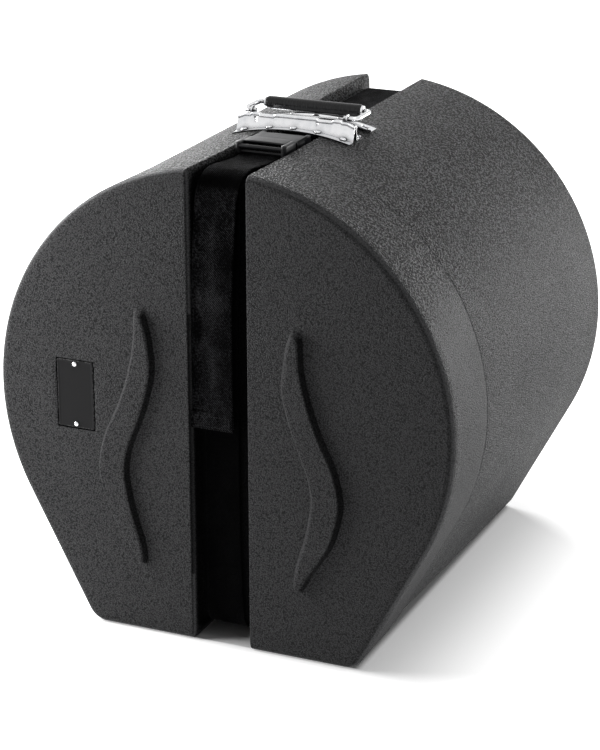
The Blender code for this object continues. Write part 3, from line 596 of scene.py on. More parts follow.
# Painted highlight: a lighter line along the rounded edge of each face and along the rim seam, broken up by the grain.
edge_painted_highlight = depth_along.size().eased(rear_y - 0.009, rear_y - 0.004) * (
    1 - depth_along.size().eased(rear_y - 0.003, rear_y - 0.0012))
seam_painted_highlight = (1 - (depth_along - rim_y).size().eased(0.0007, 0.0020)) * (1 - in_channel) * 0.6
speckle = ((grain - 0.62) * (2.6 - 0.7 * on_face - 1.4 * band) + side_grain_with_painted_light + 0.42).clipped()
skin = shell_finish.mixed(speckle, shell_low_shade, shell_high_shade)
shell_finish.look(
    Base_Color=shell_finish.mixed(edge_painted_highlight.largest(seam_painted_highlight) * (0.45 + 0.5 * speckle), skin, painted_highlight_shade),
    Roughness=0.62 - 0.24 * speckle + 0.12 * patches,
    Normal=shell_finish.bumped(grain * grain_depth + side_grain_with_painted_light * 0.4, pebble_height), Specular_IOR_Level=0.18)
# Painted shade: a thin dark line round the name plate, in its pocket's gap on the lid's face.
plate_away = ((across - plate_x).size() - plate_width / 2).largest((height_up - plate_z).size() - plate_height / 2)
pocket_painted_shade = (1 - plate_away.eased(0.0010, 0.0018)) * (1 - depth_along.eased(front_y + 0.004, front_y + 0.006))
# Painted shade: the channel's walls and floor are painted darker, most towards the faces, and so are the rib flanks and
# the pocket gap; all take the dull near-black shaded_skin.
channel_shade = in_channel * (0.94 - 0.75 * depth_along.eased(-0.22, -0.06))
shell_finish.shaded(channel_shade.largest(rib_flank_painted_shade).largest(pocket_painted_shade), shaded_skin)

lid_inner_start = front_y + wall + inner_edge_radius
ramp_y = rim_y - foot_ramp_length
ramp = [rim_y - foot_ramp_length * (1 - math.sin(math.pi / 2 * i / 9)) for i in range(9)]
inner_edge = edge_rings(front_y, 1, wall, inner_edge_radius, 4)
inner_face = face_rows(inner_edge[-1], front_y, 1, wall, channel_depth, False)
lid_rings = inner_edge[::-1]
lid_rings += side_rings(along(lid_inner_start, ramp_y, inside_step) + ramp, wall, front_y, wall + inner_edge_radius)
lid_rings += [side_ring(rim_y - inner_round, wall, rim_y),
              side_ring(rim_y - inner_round * 0.3, wall - inner_round * 0.3, rim_y),
              side_ring(rim_y, wall - inner_round, rim_y)] + rim_edge(rim_y, -1)
lid_rings += side_rings(ramp[::-1] + along(ramp_y, front_y + face_edge_radius, lid_step), 0.0, front_y,
                        face_edge_radius)
lid_rings += edge_rings(front_y, 1, 0.0, face_edge_radius, 8)
outer_face = face_rows(lid_rings[-1], front_y, 1, 0.0, channel_depth, True)
lid_shell = skin_mesh("lid_shell_skin", lid_rings, inner_face, outer_face, shell_finish.material)
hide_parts("lid_shell")
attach(lid_shell, "lid")

neck_depth = wall + neck_clearance
neck_inside = neck_depth + neck_wall
neck_front = rim_y - neck_length
step_y = rim_y + wall
rear_inner = edge_rings(rear_y, -1, wall, inner_edge_radius, 4)
rear_inner_face = face_rows(rear_inner[-1], rear_y, -1, wall, channel_depth, False)
base_rings = rear_inner[::-1]
base_rings += side_rings(along(rear_y - wall - inner_edge_radius, step_y, inside_step), wall, rear_y,
                         wall + inner_edge_radius)
base_rings += [side_ring(step_y + inner_round, wall), side_ring(step_y, wall + inner_round, step_y),
               side_ring(step_y, neck_inside - inner_round, rim_y), side_ring(step_y - inner_round, neck_inside, rim_y)]
base_rings += [side_ring(y, neck_inside, rim_y)
               for y in along(step_y - inner_round, neck_front + inner_round, inside_step)]
base_rings += [side_ring(neck_front + inner_round, neck_inside, rim_y),
               side_ring(neck_front, neck_inside - inner_round, rim_y),
               side_ring(neck_front, neck_depth + inner_round, rim_y),
               side_ring(neck_front + inner_round, neck_depth, rim_y)]
base_rings += [side_ring(y, neck_depth, rim_y) for y in along(neck_front + inner_round, rim_y, inside_step)]
base_rings += [side_ring(rim_y + seam_gap, neck_depth, rim_y)] + rim_edge(rim_y + seam_gap, 1)
base_rings += side_rings(along(rim_y + 0.002, rear_y - face_edge_radius, base_step), 0.0, rear_y, face_edge_radius)
base_rings += edge_rings(rear_y, -1, 0.0, face_edge_radius, 8)
rear_face = face_rows(base_rings[-1], rear_y, -1, 0.0, channel_depth, True)
base_shell = skin_mesh("base_shell_skin", base_rings, rear_inner_face, rear_face, shell_finish.material)
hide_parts("base_shell")
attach(base_shell, "base")

# ---------------------------------------------------------------------------------------------------------------
# Name plate: a thin sheet of steel, pressed with a low border and lacquered satin black, left bare. It lies in its
# pocket in the lid and is held by two small domed rivets.
plate_corner, plate_border, plate_recess = 0.002, 0.0022, 0.00025
plate_rivet_inset = 0.0045
plate_rivet_heights = (plate_z - plate_height / 2 + plate_rivet_inset, plate_z + plate_height / 2 - plate_rivet_inset)
rivet_head_radius, rivet_head_height, rivet_shank_radius, rivet_tail_radius, rivet_tail_height = (
    0.0042, 0.0022, 0.0021, 0.0038, 0.0012)
plate_rivet_scale = 0.7


def loft_faces(first, count, loop_count):
    """Faces of a closed form through loops of count points, whose numbers start at first, with a cap at both ends."""
    last = first + (loop_count - 1) * count
    faces = [tuple(range(first, first + count)), tuple(range(last, last + count))]
    for near in range(first, last, count):
        for i in range(count):
            j = (i + 1) % count
            faces.append((near + i, near + j, near + count + j, near + count + i))
    return faces


def lofted(name, loops, material, smooth_angle=40):
    """A closed piece through loops of equally many points, with a flat cap at both ends."""
    faces = loft_faces(0, len(loops[0]), len(loops))
    return add_piece(name, [point for loop in loops for point in loop], faces, material, smooth_angle)


def rounded_outline(half_width, half_height, radius, steps=6):
    """Outline of a rectangle with round corners, as (across, up) points."""
    radius = min(radius, half_width, half_height)
    outline = []
    for quarter, (side, top) in enumerate(((1, 1), (-1, 1), (-1, -1), (1, -1))):
        for i in range(steps + 1):
            angle = math.pi / 2 * (quarter + i / steps)
            outline.append((side * (half_width - radius) + radius * math.cos(angle),
                            top * (half_height - radius) + radius * math.sin(angle)))
    return outline


def turned(name, profile, place, way, material, steps=28):
    """A turned piece: (radius, height) points round an axis that starts at a place and points one way."""
    turn = Vector((0, 0, 1)).rotation_difference(Vector(way)).to_matrix()
    loops = [[Vector(place) + turn @ Vector((radius * math.cos(math.tau * i / steps),
                                             radius * math.sin(math.tau * i / steps), height))
              for i in range(steps)] for radius, height in profile]
    return lofted(name, loops, material)


def rivet_profile(clamped, scale=1.0):
    """Tail, shank and domed head of a rivet that clamps a thickness; height 0 is the underside of its head."""
    head, shank, tail = (r * scale for r in (rivet_head_radius, rivet_shank_radius, rivet_tail_radius))
    rise, tail_height = rivet_head_height * scale, rivet_tail_height * scale
    dome = [(head * math.cos(a), rise * (0.12 + 0.88 * math.sin(a))) for a in np.linspace(0, math.pi / 2 * 0.97, 7)]
    return [(tail * 0.82, -clamped - tail_height), (tail, -clamped - tail_height * 0.7), (tail, -clamped),
            (shank, -clamped), (shank, 0), (head * 0.97, 0), (head, rise * 0.06)] + dome


chrome_finish = Finish("chrome")
spot = chrome_finish.place()
haze = chrome_finish.noise(spot, 60, 4, 0.6)
smears = chrome_finish.noise(chrome_finish.stretched(spot, 1.0, 6.0, 6.0), 90, 3, 0.55)
# Painted shade: the chrome's colour turns near black in creases, round rivets and wherever ambient occlusion finds the
# surface closed in.
openness_for_painted_shade = chrome_finish.node("ShaderNodeAmbientOcclusion", {"samples": 8}, {"Distance": 0.006}, "AO")
plated = chrome_finish.mixed(haze.eased(0.35, 0.75), (0.80, 0.80, 0.81), (0.66, 0.67, 0.69))
chrome_finish.look(Metallic=1.0,
                   Base_Color=chrome_finish.mixed(openness_for_painted_shade.eased(0.58, 0.97), (0.03, 0.03, 0.032), plated),
                   Roughness=0.06 + 0.12 * haze.eased(0.40, 0.80) + 0.05 * smears,
                   Normal=chrome_finish.bumped(smears, 0.00008))

plate_finish = Finish("name_plate")
spot = plate_finish.place()
across, _, height_up = plate_finish.parts(spot)
brushed = plate_finish.noise(plate_finish.stretched(spot, 1.0, 1.0, 30.0), 260, 3, 0.6)
edge_away = ((across - plate_x).size() / (plate_width / 2)).largest((height_up - plate_z).size() / (plate_height / 2))
worn_edge = edge_away.eased(0.955, 1.0) * plate_finish.noise(spot, 420, 2).eased(0.42, 0.62)
plate_finish.look(Base_Color=plate_finish.mixed(worn_edge, (0.009, 0.009, 0.0095), (0.10, 0.10, 0.10)),
                  Roughness=0.42 + 0.16 * brushed, Normal=plate_finish.bumped(brushed, 0.00006),
                  Specular_IOR_Level=0.12)

plate_front, plate_back = front_y + 0.0003, front_y + 0.0003 + plate_thickness
plate_loops = []
for shrink, y in ((0.0003, plate_back), (0.0, plate_back - 0.0003), (0.0, plate_front + 0.0004),
                  (0.00015, plate_front + 0.0001), (0.0004, plate_front), (plate_border, plate_front),
                  (plate_border + 0.0005, plate_front + plate_recess)):
    plate_loops.append([(plate_x + x, y, plate_z + z) for x, z in rounded_outline(
        plate_width / 2 - shrink, plate_height / 2 - shrink, max(plate_corner - shrink, 0.0005))])
name_plate = lofted("name_plate_sheet", plate_loops, plate_finish.material, 15)
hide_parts("name_plate")
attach(name_plate, "lid")
for label, z in zip(("lower", "upper"), plate_rivet_heights):
    rivet = turned(f"plate_rivet_{label}", rivet_profile(wall + 0.0004, plate_rivet_scale),
                   (plate_x, front_y - 0.0001, z), (0, -1, 0), chrome_finish.material)
    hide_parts(f"name_plate_rivet_{label}")
    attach(rivet, "lid")

# ---------------------------------------------------------------------------------------------------------------
# Handle: one pressed and chromed steel sheet that bridges the channel, riveted along its front and rear flanges. A
# raised lip stands in front of the wire bail, whose turned-in ends go through two lugs; a black tube is the grip.
handle_half, handle_front_y = 0.075, -0.067
handle_flange, handle_lip_width, handle_lip_height = 0.018, 0.0045, 0.0125
handle_deck_length, handle_deck_height, handle_sheet, handle_crease = 0.044, 0.0028, 0.0014, 0.0120
notch_start, notch_end, notch_depth = handle_front_y + 0.0365, handle_front_y + 0.0665, 0.017
dent_places, dent_depth, dent_reach = (-0.052, 0.027), 0.0012, 0.0013
lip_bow, lip_tab, lip_end_drop, lip_bead, sheet_steps = 0.0016, 0.0014, 0.0034, 0.0009, 150
handle_rivet_xs = (-0.063, -0.03075, 0.0, 0.03075, 0.063)
lug_x, lug_thickness, lug_length, lug_sink, lug_flare, lug_edge = 0.061, 0.0022, 0.010, 0.0045, 0.0012, 0.0003
both_sides = (("left", -1), ("right", 1))
bail_wire, bail_half, bail_reach, bail_bend, bail_pin_end = 0.003, 0.072, 0.043, 0.007, 0.056
grip_length, grip_radius = 0.122, 0.0077
handle_step, rivet_row_inset, rivet_play, bail_gap, grip_gap = 0.0006, 0.0087, 0.0009, 0.0025, 0.0026
axis_y = handle_front_y + handle_flange + handle_lip_width + handle_step + bail_gap + bail_wire
axis_z = case_top + handle_deck_height + grip_radius + grip_gap
rear_row_y = handle_front_y + handle_flange + handle_lip_width + 2 * handle_step + handle_deck_length + rivet_row_inset


def on_case(x, y, lift):
    """Height of the round top of the case, raised square to it."""
    return circle_height + np.sqrt((case_radius - outline_inset(y) + lift) ** 2 - np.square(x))


def filleted(points, radius, steps=4):
    """A line of (y, z) points with its inner corners rounded."""
    line = [points[0]]
    for before, corner, after in zip(points, points[1:], points[2:]):
        corner = np.array(corner, float)
        back, ahead = np.array(before, float) - corner, np.array(after, float) - corner
        reach = min(radius, np.linalg.norm(back) * 0.45, np.linalg.norm(ahead) * 0.45)
        start, end = corner + back / np.linalg.norm(back) * reach, corner + ahead / np.linalg.norm(ahead) * reach
        for i in range(steps + 1):
            t = i / steps
            line.append(tuple((1 - t) ** 2 * start + 2 * t * (1 - t) * corner + t * t * end))
    return line + [points[-1]]


def sheet_half_at(y):
    """Half the sheet's width: a notch at both ends leaves room for the bail's arms."""
    notch = eased(y, notch_start, notch_start + 0.002) - eased(y, notch_end - 0.002, notch_end)
    return handle_half - 0.0001 - notch_depth * notch


def handle_line(t):
    """The sheet's section at a share of its half width, from its front edge to its rear edge, as (y, z) points."""
    x = t * handle_half
    lip_start = handle_front_y + handle_flange
    lip_end = lip_start + handle_lip_width
    deck_end = lip_end + handle_step + handle_deck_length
    crease = handle_front_y + handle_crease
    low = handle_sheet / 2 + 0.0003
    crown = case_top - handle_sheet / 2
    bow = lip_bow * (1 - eased(abs(x), 0.026, 0.029))
    tab = lip_tab * float(eased(abs(x), 0.046, 0.048) * (1 - eased(abs(x), 0.057, 0.059)))
    ends_down = lip_end_drop * eased(abs(x), 0.0635, 0.0750)
    lip = crown + handle_lip_height - 0.0012 - ends_down + bow + tab
    bead = lip_bead * (1 - eased(abs(x), 0.060, 0.070))
    dent = max(dent_depth * math.exp(-((x - place) / dent_reach) ** 2) for place in dent_places)

    def deck(y):
        across = t * sheet_half_at(y)
        down = float(eased(abs(across), 0.034, 0.066))
        return (crown + handle_deck_height) * (1 - down) + (on_case(across, y, low) + 0.0006) * down

    foot = on_case(x, crease, low)
    line = [(handle_front_y, on_case(x, handle_front_y, low)), (crease - 0.0012, on_case(x, crease - 0.0012, low)),
            (crease, foot + 0.0006), (crease + (lip_start - crease) * 0.28 + bead, foot + (lip - foot) * 0.28),
            (crease + (lip_start - crease) * 0.42 + bead + dent, foot + (lip - foot) * 0.42),
            (crease + (lip_start - crease) * 0.66 + bead + dent, foot + (lip - foot) * 0.66),
            (lip_start - 0.0008, lip - 0.0032), (lip_start - 0.0002, lip - 0.0028),
            (lip_start - 0.0012, lip - 0.0020), (lip_start - 0.0012, lip - 0.0008), (lip_start - 0.0004, lip),
            (lip_end - 0.0006, lip), (lip_end, lip - 0.0010), (lip_end + handle_step, deck(lip_end))]
    line += [(y, deck(y)) for y in (notch_start - 0.001, notch_start + 0.001, notch_start + 0.003,
                                    (notch_start + notch_end) / 2, notch_end - 0.003, notch_end - 0.001, deck_end)]
    line += [(deck_end + handle_step, on_case(x, deck_end + handle_step, low)),
             (deck_end + handle_flange, on_case(x, deck_end + handle_flange, low))]
    return filleted(line, 0.0010)


handle_shares = [-1 + 2 * i / sheet_steps for i in range(sheet_steps + 1)]
handle_section = np.array([handle_line(t) for t in handle_shares])
slope = np.gradient(handle_section, axis=1)
slope = slope / np.linalg.norm(slope, axis=2, keepdims=True)
sheet_way = np.stack([-slope[..., 1], slope[..., 0]], 2) * handle_sheet / 2
top_face, under_face = handle_section + sheet_way, handle_section - sheet_way
loops = []
for t, upper_line, lower_line in zip(handle_shares, top_face, under_face):
    loops.append([(t * float(sheet_half_at(y)), y, z) for y, z in [*upper_line, *lower_line[::-1]]])
handle_plate = lofted("handle_plate_sheet", loops, chrome_finish.material, 35)

for label, side in both_sides:
    outline = []
    low_z = case_top - handle_sheet - lug_sink
    for angle in np.linspace(0, math.pi, 13):
        outline.append((axis_y + lug_length / 2 * math.cos(angle), axis_z + lug_length / 2 * math.sin(angle)))
    outline = [(axis_y + lug_length / 2 + lug_flare, low_z)] + outline + [(axis_y - lug_length / 2 - lug_flare, low_z)]
    middle = np.mean(outline, 0)
    lug_loops = []
    for across, shrink in ((-0.5, lug_edge), (-0.40, 0.0), (0.40, 0.0), (0.5, lug_edge)):
        kept = 1 - shrink / (lug_length / 2)
        lug_loops.append([(side * lug_x + across * lug_thickness, *(middle + (np.array(p) - middle) * kept))
                          for p in outline])
    lug = lofted(f"handle_lug_{label}", lug_loops, chrome_finish.material)
    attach(lug, "base")
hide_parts("handle_plate")
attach(handle_plate, "base")

for row, y in (("front", handle_front_y + rivet_row_inset), ("rear", rear_row_y)):
    for number, x in enumerate(handle_rivet_xs, 1):
        z = float(on_case(x, y, 0))
        out = Vector((x, 0, z - circle_height)).normalized()
        clamped = handle_sheet + rivet_play + (wall if abs(x) > channel_half_width else 0)
        rivet = turned(f"handle_rivet_{row}_{number}_dome", rivet_profile(clamped),
                       Vector((x, y, z)) + out * (handle_sheet + 0.0006), out, chrome_finish.material)
        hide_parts(f"handle_rivet_{row}_{number}")
        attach(rivet, "base")


def rounded_route(corners, radius, steps=7):
    """A route through corner points, rounded at each inner one."""
    route = [Vector(corners[0])]
    for before, corner, after in zip(corners, corners[1:], corners[2:]):
        corner = Vector(corner)
        start = corner + (Vector(before) - corner).normalized() * radius
        end = corner + (Vector(after) - corner).normalized() * radius
        for i in range(steps + 1):
            t = i / steps
            route.append(start * (1 - t) ** 2 + corner * 2 * t * (1 - t) + end * t * t)
    return route + [Vector(corners[-1])]


def tube(name, route, radii, material, steps=16):
    """A round bar along a route, with a radius at each point of it."""
    loops = []
    side = None
    for i, point in enumerate(route):
        ahead = (route[min(i + 1, len(route) - 1)] - route[max(i - 1, 0)]).normalized()
        side = (side or Vector((0, 0, 1))) - ahead * ahead.dot(side or Vector((0, 0, 1)))
        side.normalize()
        other = ahead.cross(side)
        turns = [math.tau * k / steps for k in range(steps)]
        loops.append([point + (side * math.cos(turn) + other * math.sin(turn)) * radii[i] for turn in turns])
    return lofted(name, loops, material)


corners = [(bail_pin_end, axis_y, axis_z), (bail_half, axis_y, axis_z), (bail_half, axis_y + bail_reach, axis_z),
           (-bail_half, axis_y + bail_reach, axis_z), (-bail_half, axis_y, axis_z), (-bail_pin_end, axis_y, axis_z)]
route = rounded_route(corners, bail_bend)
route = [route[0], route[0] + Vector((0.0005, 0, 0))] + route[1:-1] + [route[-1] - Vector((0.0005, 0, 0)), route[-1]]
radii = [bail_wire - 0.0006] + [bail_wire] * (len(route) - 2) + [bail_wire - 0.0006]
bail = tube("handle_bail_wire", route, radii, chrome_finish.material, 20)
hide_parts("handle_bail")
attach(bail, "bail")

grip_finish = Finish("grip_rubber")
spot = grip_finish.place()
scuff = grip_finish.noise(grip_finish.stretched(spot, 6.0, 1.0, 1.0), 120, 3, 0.6)
mottle = grip_finish.noise(spot, 900, 2, 0.5)
grip_finish.look(Base_Color=grip_finish.mixed(scuff.eased(0.4, 0.7), (0.006, 0.006, 0.0065), (0.018, 0.018, 0.019)),
                 Roughness=0.15 + 0.14 * scuff, Normal=grip_finish.bumped(mottle, 0.00006), Specular_IOR_Level=0.26)
half_grip = grip_length / 2
grip_profile = [(bail_wire + 0.0002, 0.0), (grip_radius - 0.0016, 0.0), (grip_radius - 0.0005, 0.0006),
                (grip_radius, 0.0020), (grip_radius, 0.0040)]
grip_profile += [(grip_radius - 0.00006 * math.sin(math.pi * i / 12), 0.004 + (grip_length - 0.008) * i / 12)
                 for i in range(1, 12)]
grip_profile += [(radius, grip_length - height) for radius, height in grip_profile[4::-1]]
grip = turned("handle_grip_tube", grip_profile, (-half_grip, axis_y + bail_reach, axis_z), (1, 0, 0),
              grip_finish.material, 36)
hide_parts("handle_grip")
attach(grip, "bail")
for label, side in both_sides:
    collar_profile = [(bail_wire + 0.0001, 0), (grip_radius - 0.0018, 0), (grip_radius - 0.0012, 0.0004),
                      (grip_radius - 0.0012, 0.0022), (grip_radius - 0.0022, 0.0030), (bail_wire + 0.0001, 0.0032)]
    collar = turned(f"grip_collar_{label}", collar_profile, (side * half_grip, axis_y + bail_reach, axis_z),
                    (side, 0, 0), chrome_finish.material)
    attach(collar, "bail")

# ---------------------------------------------------------------------------------------------------------------
# Webbing: one 50 mm strap of black nylon, woven with fine cross ribs and a firm selvedge, that runs round the case in
# its channel. Its end is threaded through the buckle's ladder lock, hangs down the lid and is folded and sewn.
web_width, web_thickness, web_rib = 0.0495, 0.002, 0.0014
web_rib_depth, web_edge, slant_pitch, yarn_pitch = 0.00016, 0.0032, 0.0030, 0.00085
layer_gap, web_clearance = 0.0006, 0.0003
tail_lift, tail_end_height, tail_fold_length, tail_lean, tail_width = 0.0080, 0.268, 0.020, -0.0098, 0.051
tail_stand_off, fold_half = 0.0012, 0.0026
thread_radius, thread_raised, thread_sunk, thread_sides = 0.00042, 0.0002, -0.0003, 6
frame_y, frame_length, socket_length, buckle_gap = -0.151, 0.031, 0.040, 0.0040
sewn_length, sewn_rise = 0.030, 0.030
bar_radius, lock_bar, socket_bar = 0.0022, (0.0168, 0.0105), (0.0030, 0.0055)

floor_z = case_top - channel_depth
main_inset = channel_depth - web_clearance - web_thickness / 2
tail_inset = main_inset - tail_lift
main_z = case_top - main_inset
upper_z = main_z + web_thickness + layer_gap
bar_y, bar_z = frame_y + lock_bar[0], floor_z + lock_bar[1]
wrap = bar_radius + web_clearance + web_thickness / 2
lock_start = frame_y - 2 * web_thickness

web_finish = Finish("webbing")
spot = web_finish.place()
across, along_y, up_z = web_finish.parts(spot)
thread_row = ((along_y + up_z) * (math.tau / web_rib)).sine()
slant = ((along_y + up_z + across) * (math.tau / slant_pitch)).sine()
yarn = (across * (math.tau / yarn_pitch)).sine()
fuzz = web_finish.noise(spot, 430, 2, 0.6)
# Painted shade: the run that lies deeper in the channel on the lid's face, under the tail, is painted much darker; a
# lighter line runs along its edges.
lower_run_in_painted_shade = along_y.eased(front_y + 0.008, front_y + 0.013) * (1 - along_y.eased(front_y + 0.018, front_y + 0.030))
rubbed = web_finish.noise(web_finish.stretched(spot, 1.0, 0.5, 0.5), 45, 3, 0.6)
selvedge = across.size().eased(web_width / 2 - 0.0040, web_width / 2 - 0.0028)
edge_line = across.size().eased(web_width / 2 - 0.0030, web_width / 2 - 0.0024) * (
    1 - across.size().eased(web_width / 2 - 0.0016, web_width / 2 - 0.0010))
weave = (slant * 0.6 + yarn * 0.1) * (1 - selvedge) + thread_row * 0.2 + (fuzz - 0.5) * 3.0
web_tone_and_painted_shade = ((rubbed - 0.5) * 1.3 + 0.07 + weave * 0.44 + 0.30 * edge_line * lower_run_in_painted_shade) * (1 - 0.9 * lower_run_in_painted_shade)
web_finish.look(Base_Color=web_finish.mixed(web_tone_and_painted_shade.clipped(), (0.0005, 0.0005, 0.0006), (0.085, 0.085, 0.090)),
                Roughness=0.80, Normal=web_finish.bumped(weave, 0.0004), Specular_IOR_Level=0.015)


def arc(centre, radius, start, end, steps):
    """Points of an arc in the middle plane, as (y, z)."""
    return [(centre[0] + radius * math.cos(start + (end - start) * i / steps),
             centre[1] + radius * math.sin(start + (end - start) * i / steps)) for i in range(steps + 1)]


def channel_corner(inset, quarter, steps=16):
    """Route round one corner of the channel, counted from the rear top corner over the front."""
    radius = channel_floor_radius + channel_depth - inset
    y = rear_y - inset - radius if quarter in (0, 3) else front_y + inset + radius
    z = case_top - inset - radius if quarter in (0, 1) else inset + radius
    return arc((y, z), radius, quarter * math.pi / 2, (quarter + 1) * math.pi / 2, steps)


def evenly(route, step):
    """Points at even steps along a route, with the directions there."""
    route = np.array(route, float)
    lengths = np.concatenate([[0], np.cumsum(np.linalg.norm(np.diff(route, axis=0), axis=1))])
    count = max(2, int(round(lengths[-1] / step)))
    at = np.linspace(0, lengths[-1], count + 1)
    points = np.stack([np.interp(at, lengths, route[:, k]) for k in (0, 1)], 1)
    blurred = points.copy()
    for _ in range(2):
        blurred[1:-1] = (points[:-2] + 2 * points[1:-1] + points[2:]) / 4
        points = blurred.copy()
    ahead = np.gradient(points, axis=0)
    return points, ahead / np.linalg.norm(ahead, axis=1, keepdims=True), at


def webbing(name, route, node, body, wobble=0.0, width=web_width, lean=(0.0, 0.0)):
    """Webbing along a route of (y, z) points: ribbed faces, thicker rounded edges. It leans away from the middle
    plane by the values of lean, which lie at even steps of its length."""
    points, ahead, at = evenly(route, web_rib / 2)
    out = np.stack([-ahead[:, 1], ahead[:, 0]], 1)
    half = width / 2
    edge = [half - web_edge, half - web_edge * 0.55, half - web_edge * 0.2, half]
    flat = np.linspace(-half + web_edge * 1.4, half - web_edge * 1.4, 9)
    lines = np.array([-x for x in edge[::-1]] + list(flat) + edge)
    from_edge = half - np.abs(lines)
    rounded = 0.35 + 0.65 * np.sqrt(from_edge / (web_edge * 0.5))
    thick = web_thickness / 2 * np.where(from_edge < web_edge * 0.5, rounded, 1.0)
    thick = thick - 0.00010 * eased(from_edge, web_edge * 0.6, web_edge)
    loops = []
    ends = np.minimum(at, at[-1] - at)
    for i, (point, normal) in enumerate(zip(points, out)):
        fade = float(eased(ends[i], 0.0, 0.03))
        sway = wobble * fade * math.sin(at[i] * 23.0 + 0.7)
        sway += float(smooth_table(np.linspace(0, 1, len(lean)), lean, at[i] / at[-1]))
        lift = wobble * fade * 0.35 * math.sin(at[i] * 31.0)
        rib = web_rib_depth * (i % 2)
        upper, lower = [], []
        for x, t in zip(lines, thick):
            twist = lift * (1 + 0.8 * x / half)
            high, deep = point + normal * (t - rib + twist), point - normal * (t - rib - twist)
            upper.append((x + sway, *high))
            lower.append((x + sway, *deep))
        loops.append(upper + lower[::-1])
    strap = lofted(name, loops, web_finish.material, 60)
    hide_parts(node)
    if body:
        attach(strap, body)
    return strap


corner_top, corner_low = channel_corner(main_inset, 1), channel_corner(main_inset, 2)
split = channel_corner(tail_inset, 1)
webbing("webbing_front", corner_top + corner_low, "strap_front", "lid", wobble=0.0004,
        lean=(0.0, -0.002, -0.0045, -0.0050, -0.0048, -0.003, 0.0))
fold_y = front_y + tail_inset - tail_stand_off
tail_route = split + [(front_y + tail_inset - 0.0008, 0.46), (fold_y, 0.34), (fold_y, tail_end_height + 0.0004)]
webbing("webbing_tail", tail_route, "strap_tail", "lid", wobble=0.0006, width=tail_width,
        lean=[tail_lean * share for share in (0.0, 0.45, 0.72, 0.88, 0.97, 1.0)])
fold_top = tail_end_height + tail_fold_length
fold_route = [(fold_y - fold_half, fold_top), (fold_y - fold_half, tail_end_height + fold_half)]
fold_route += arc((fold_y, tail_end_height + fold_half), fold_half, math.pi, 2 * math.pi, 8)[1:]
fold_route += [(fold_y + fold_half, fold_top)]
webbing("webbing_tail_fold", fold_route, "strap_tail_fold", "lid", wobble=0.0012, width=tail_width + 0.0016,
        lean=(tail_lean, tail_lean - 0.0012))
top_front = webbing("webbing_top_front", [(lock_start, main_z), (corner_top[0][0], main_z)], "strap_top_front", None)
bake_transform(top_front)
tail_top_route = [(lock_start, upper_z), (lock_start - 0.02, upper_z + 0.0004),
                  (split[0][0] + 0.01, case_top - tail_inset), (split[0][0], case_top - tail_inset)]
tail_top = webbing("webbing_tail_top", tail_top_route, "strap_tail_top", None)
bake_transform(tail_top)
rear_low = channel_corner(main_inset, 3)
bottom_route = [(corner_low[-1][0], main_inset), (rear_low[0][0], main_inset)]
bottom_strap = webbing("webbing_bottom", bottom_route, "strap_bottom", None, wobble=0.0004)
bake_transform(bottom_strap)
over_bar = arc((bar_y, bar_z), wrap, -math.pi / 4, math.pi, 20)
webbing("webbing_in_buckle", [(lock_start, main_z), (bar_y - wrap, main_z), *over_bar,
                              (bar_y - wrap - web_thickness, bar_z - wrap), (bar_y - 2 * wrap, upper_z),
                              (lock_start, upper_z)], "strap_in_buckle", "base")
socket_y = frame_y + frame_length + buckle_gap
socket_bar_y, socket_bar_z = socket_y + socket_length - socket_bar[0], floor_z + socket_bar[1]
around = arc((socket_bar_y, socket_bar_z), wrap, math.pi / 3, 3 * math.pi / 2, 20)
sewn_end = socket_bar_y + sewn_length
webbing("webbing_rear", [*rear_low, *channel_corner(main_inset, 0), (sewn_end + sewn_rise, main_z),
                         (sewn_end, upper_z), (socket_bar_y + 3 * wrap, upper_z), *around,
                         (socket_bar_y + 2 * wrap, main_z), (sewn_end - wrap, main_z)], "strap_rear", "base")


def stitches(name, places, body):
    """Sewing thread: each stitch is a short raised loop of black thread between two points on the webbing."""
    points, faces = [], []
    for start, end, out in places:
        start, end, out = Vector(start), Vector(end), Vector(out)
        ahead = (end - start).normalized()
        side = ahead.cross(out).normalized()
        faces += loft_faces(len(points), thread_sides, 4)
        for share, lift, size in ((0.0, thread_sunk, 0.6), (0.25, thread_raised, 1.0), (0.75, thread_raised, 1.0),
                                  (1.0, thread_sunk, 0.6)):
            centre = start.lerp(end, share) + out * lift
            for j in range(thread_sides):
                angle = math.tau * j / thread_sides
                points.append(centre + (side * math.cos(angle) + out * math.sin(angle)) * thread_radius * size)
    sewn = add_piece(name, points, faces, thread_finish.material, 60)
    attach(sewn, body)


def stitch_row(start, pitch, length, count, out):
    """Stitches in a row: pitch leads from one to the next, and length along one."""
    start, pitch, length = np.array(start), np.array(pitch), np.array(length)
    return [(start + i * pitch, start + i * pitch + length, out) for i in range(count)]


thread_finish = Finish("sewing_thread")
spot = thread_finish.place()
ply = thread_finish.noise(thread_finish.stretched(spot, 1.0, 1.0, 0.4), 2600, 2)
thread_finish.look(Base_Color=thread_finish.mixed(ply, (0.010, 0.010, 0.011), (0.040, 0.040, 0.042)), Roughness=0.7,
                   Normal=thread_finish.bumped(ply, 0.0001), Specular_IOR_Level=0.10)
fold_face, row_start = fold_y - fold_half - web_thickness / 2, tail_lean - 0.0205
sewn_places = []
for z in (tail_end_height + 0.0042, fold_top - 0.0032):
    sewn_places += stitch_row((row_start, fold_face, z), (0.0034, 0, 0), (0.0026, 0, 0), 13, (0, -1, 0))
for x in (row_start, tail_lean + 0.0225):
    sewn_places += stitch_row((x, fold_face, tail_end_height + 0.0056), (0, 0, 0.0040), (0, 0, 0.0020), 3, (0, -1, 0))
stitches("tail_stitching", sewn_places, "lid")
sewn_places = []
for y in (socket_bar_y + 0.012, sewn_end - 0.004):
    sewn_places += stitch_row((-0.0215, y, upper_z + web_thickness / 2), (0.0032, 0, 0), (0.0022, 0, 0), 14, (0, 0, 1))
stitches("rear_stitching", sewn_places, "base")

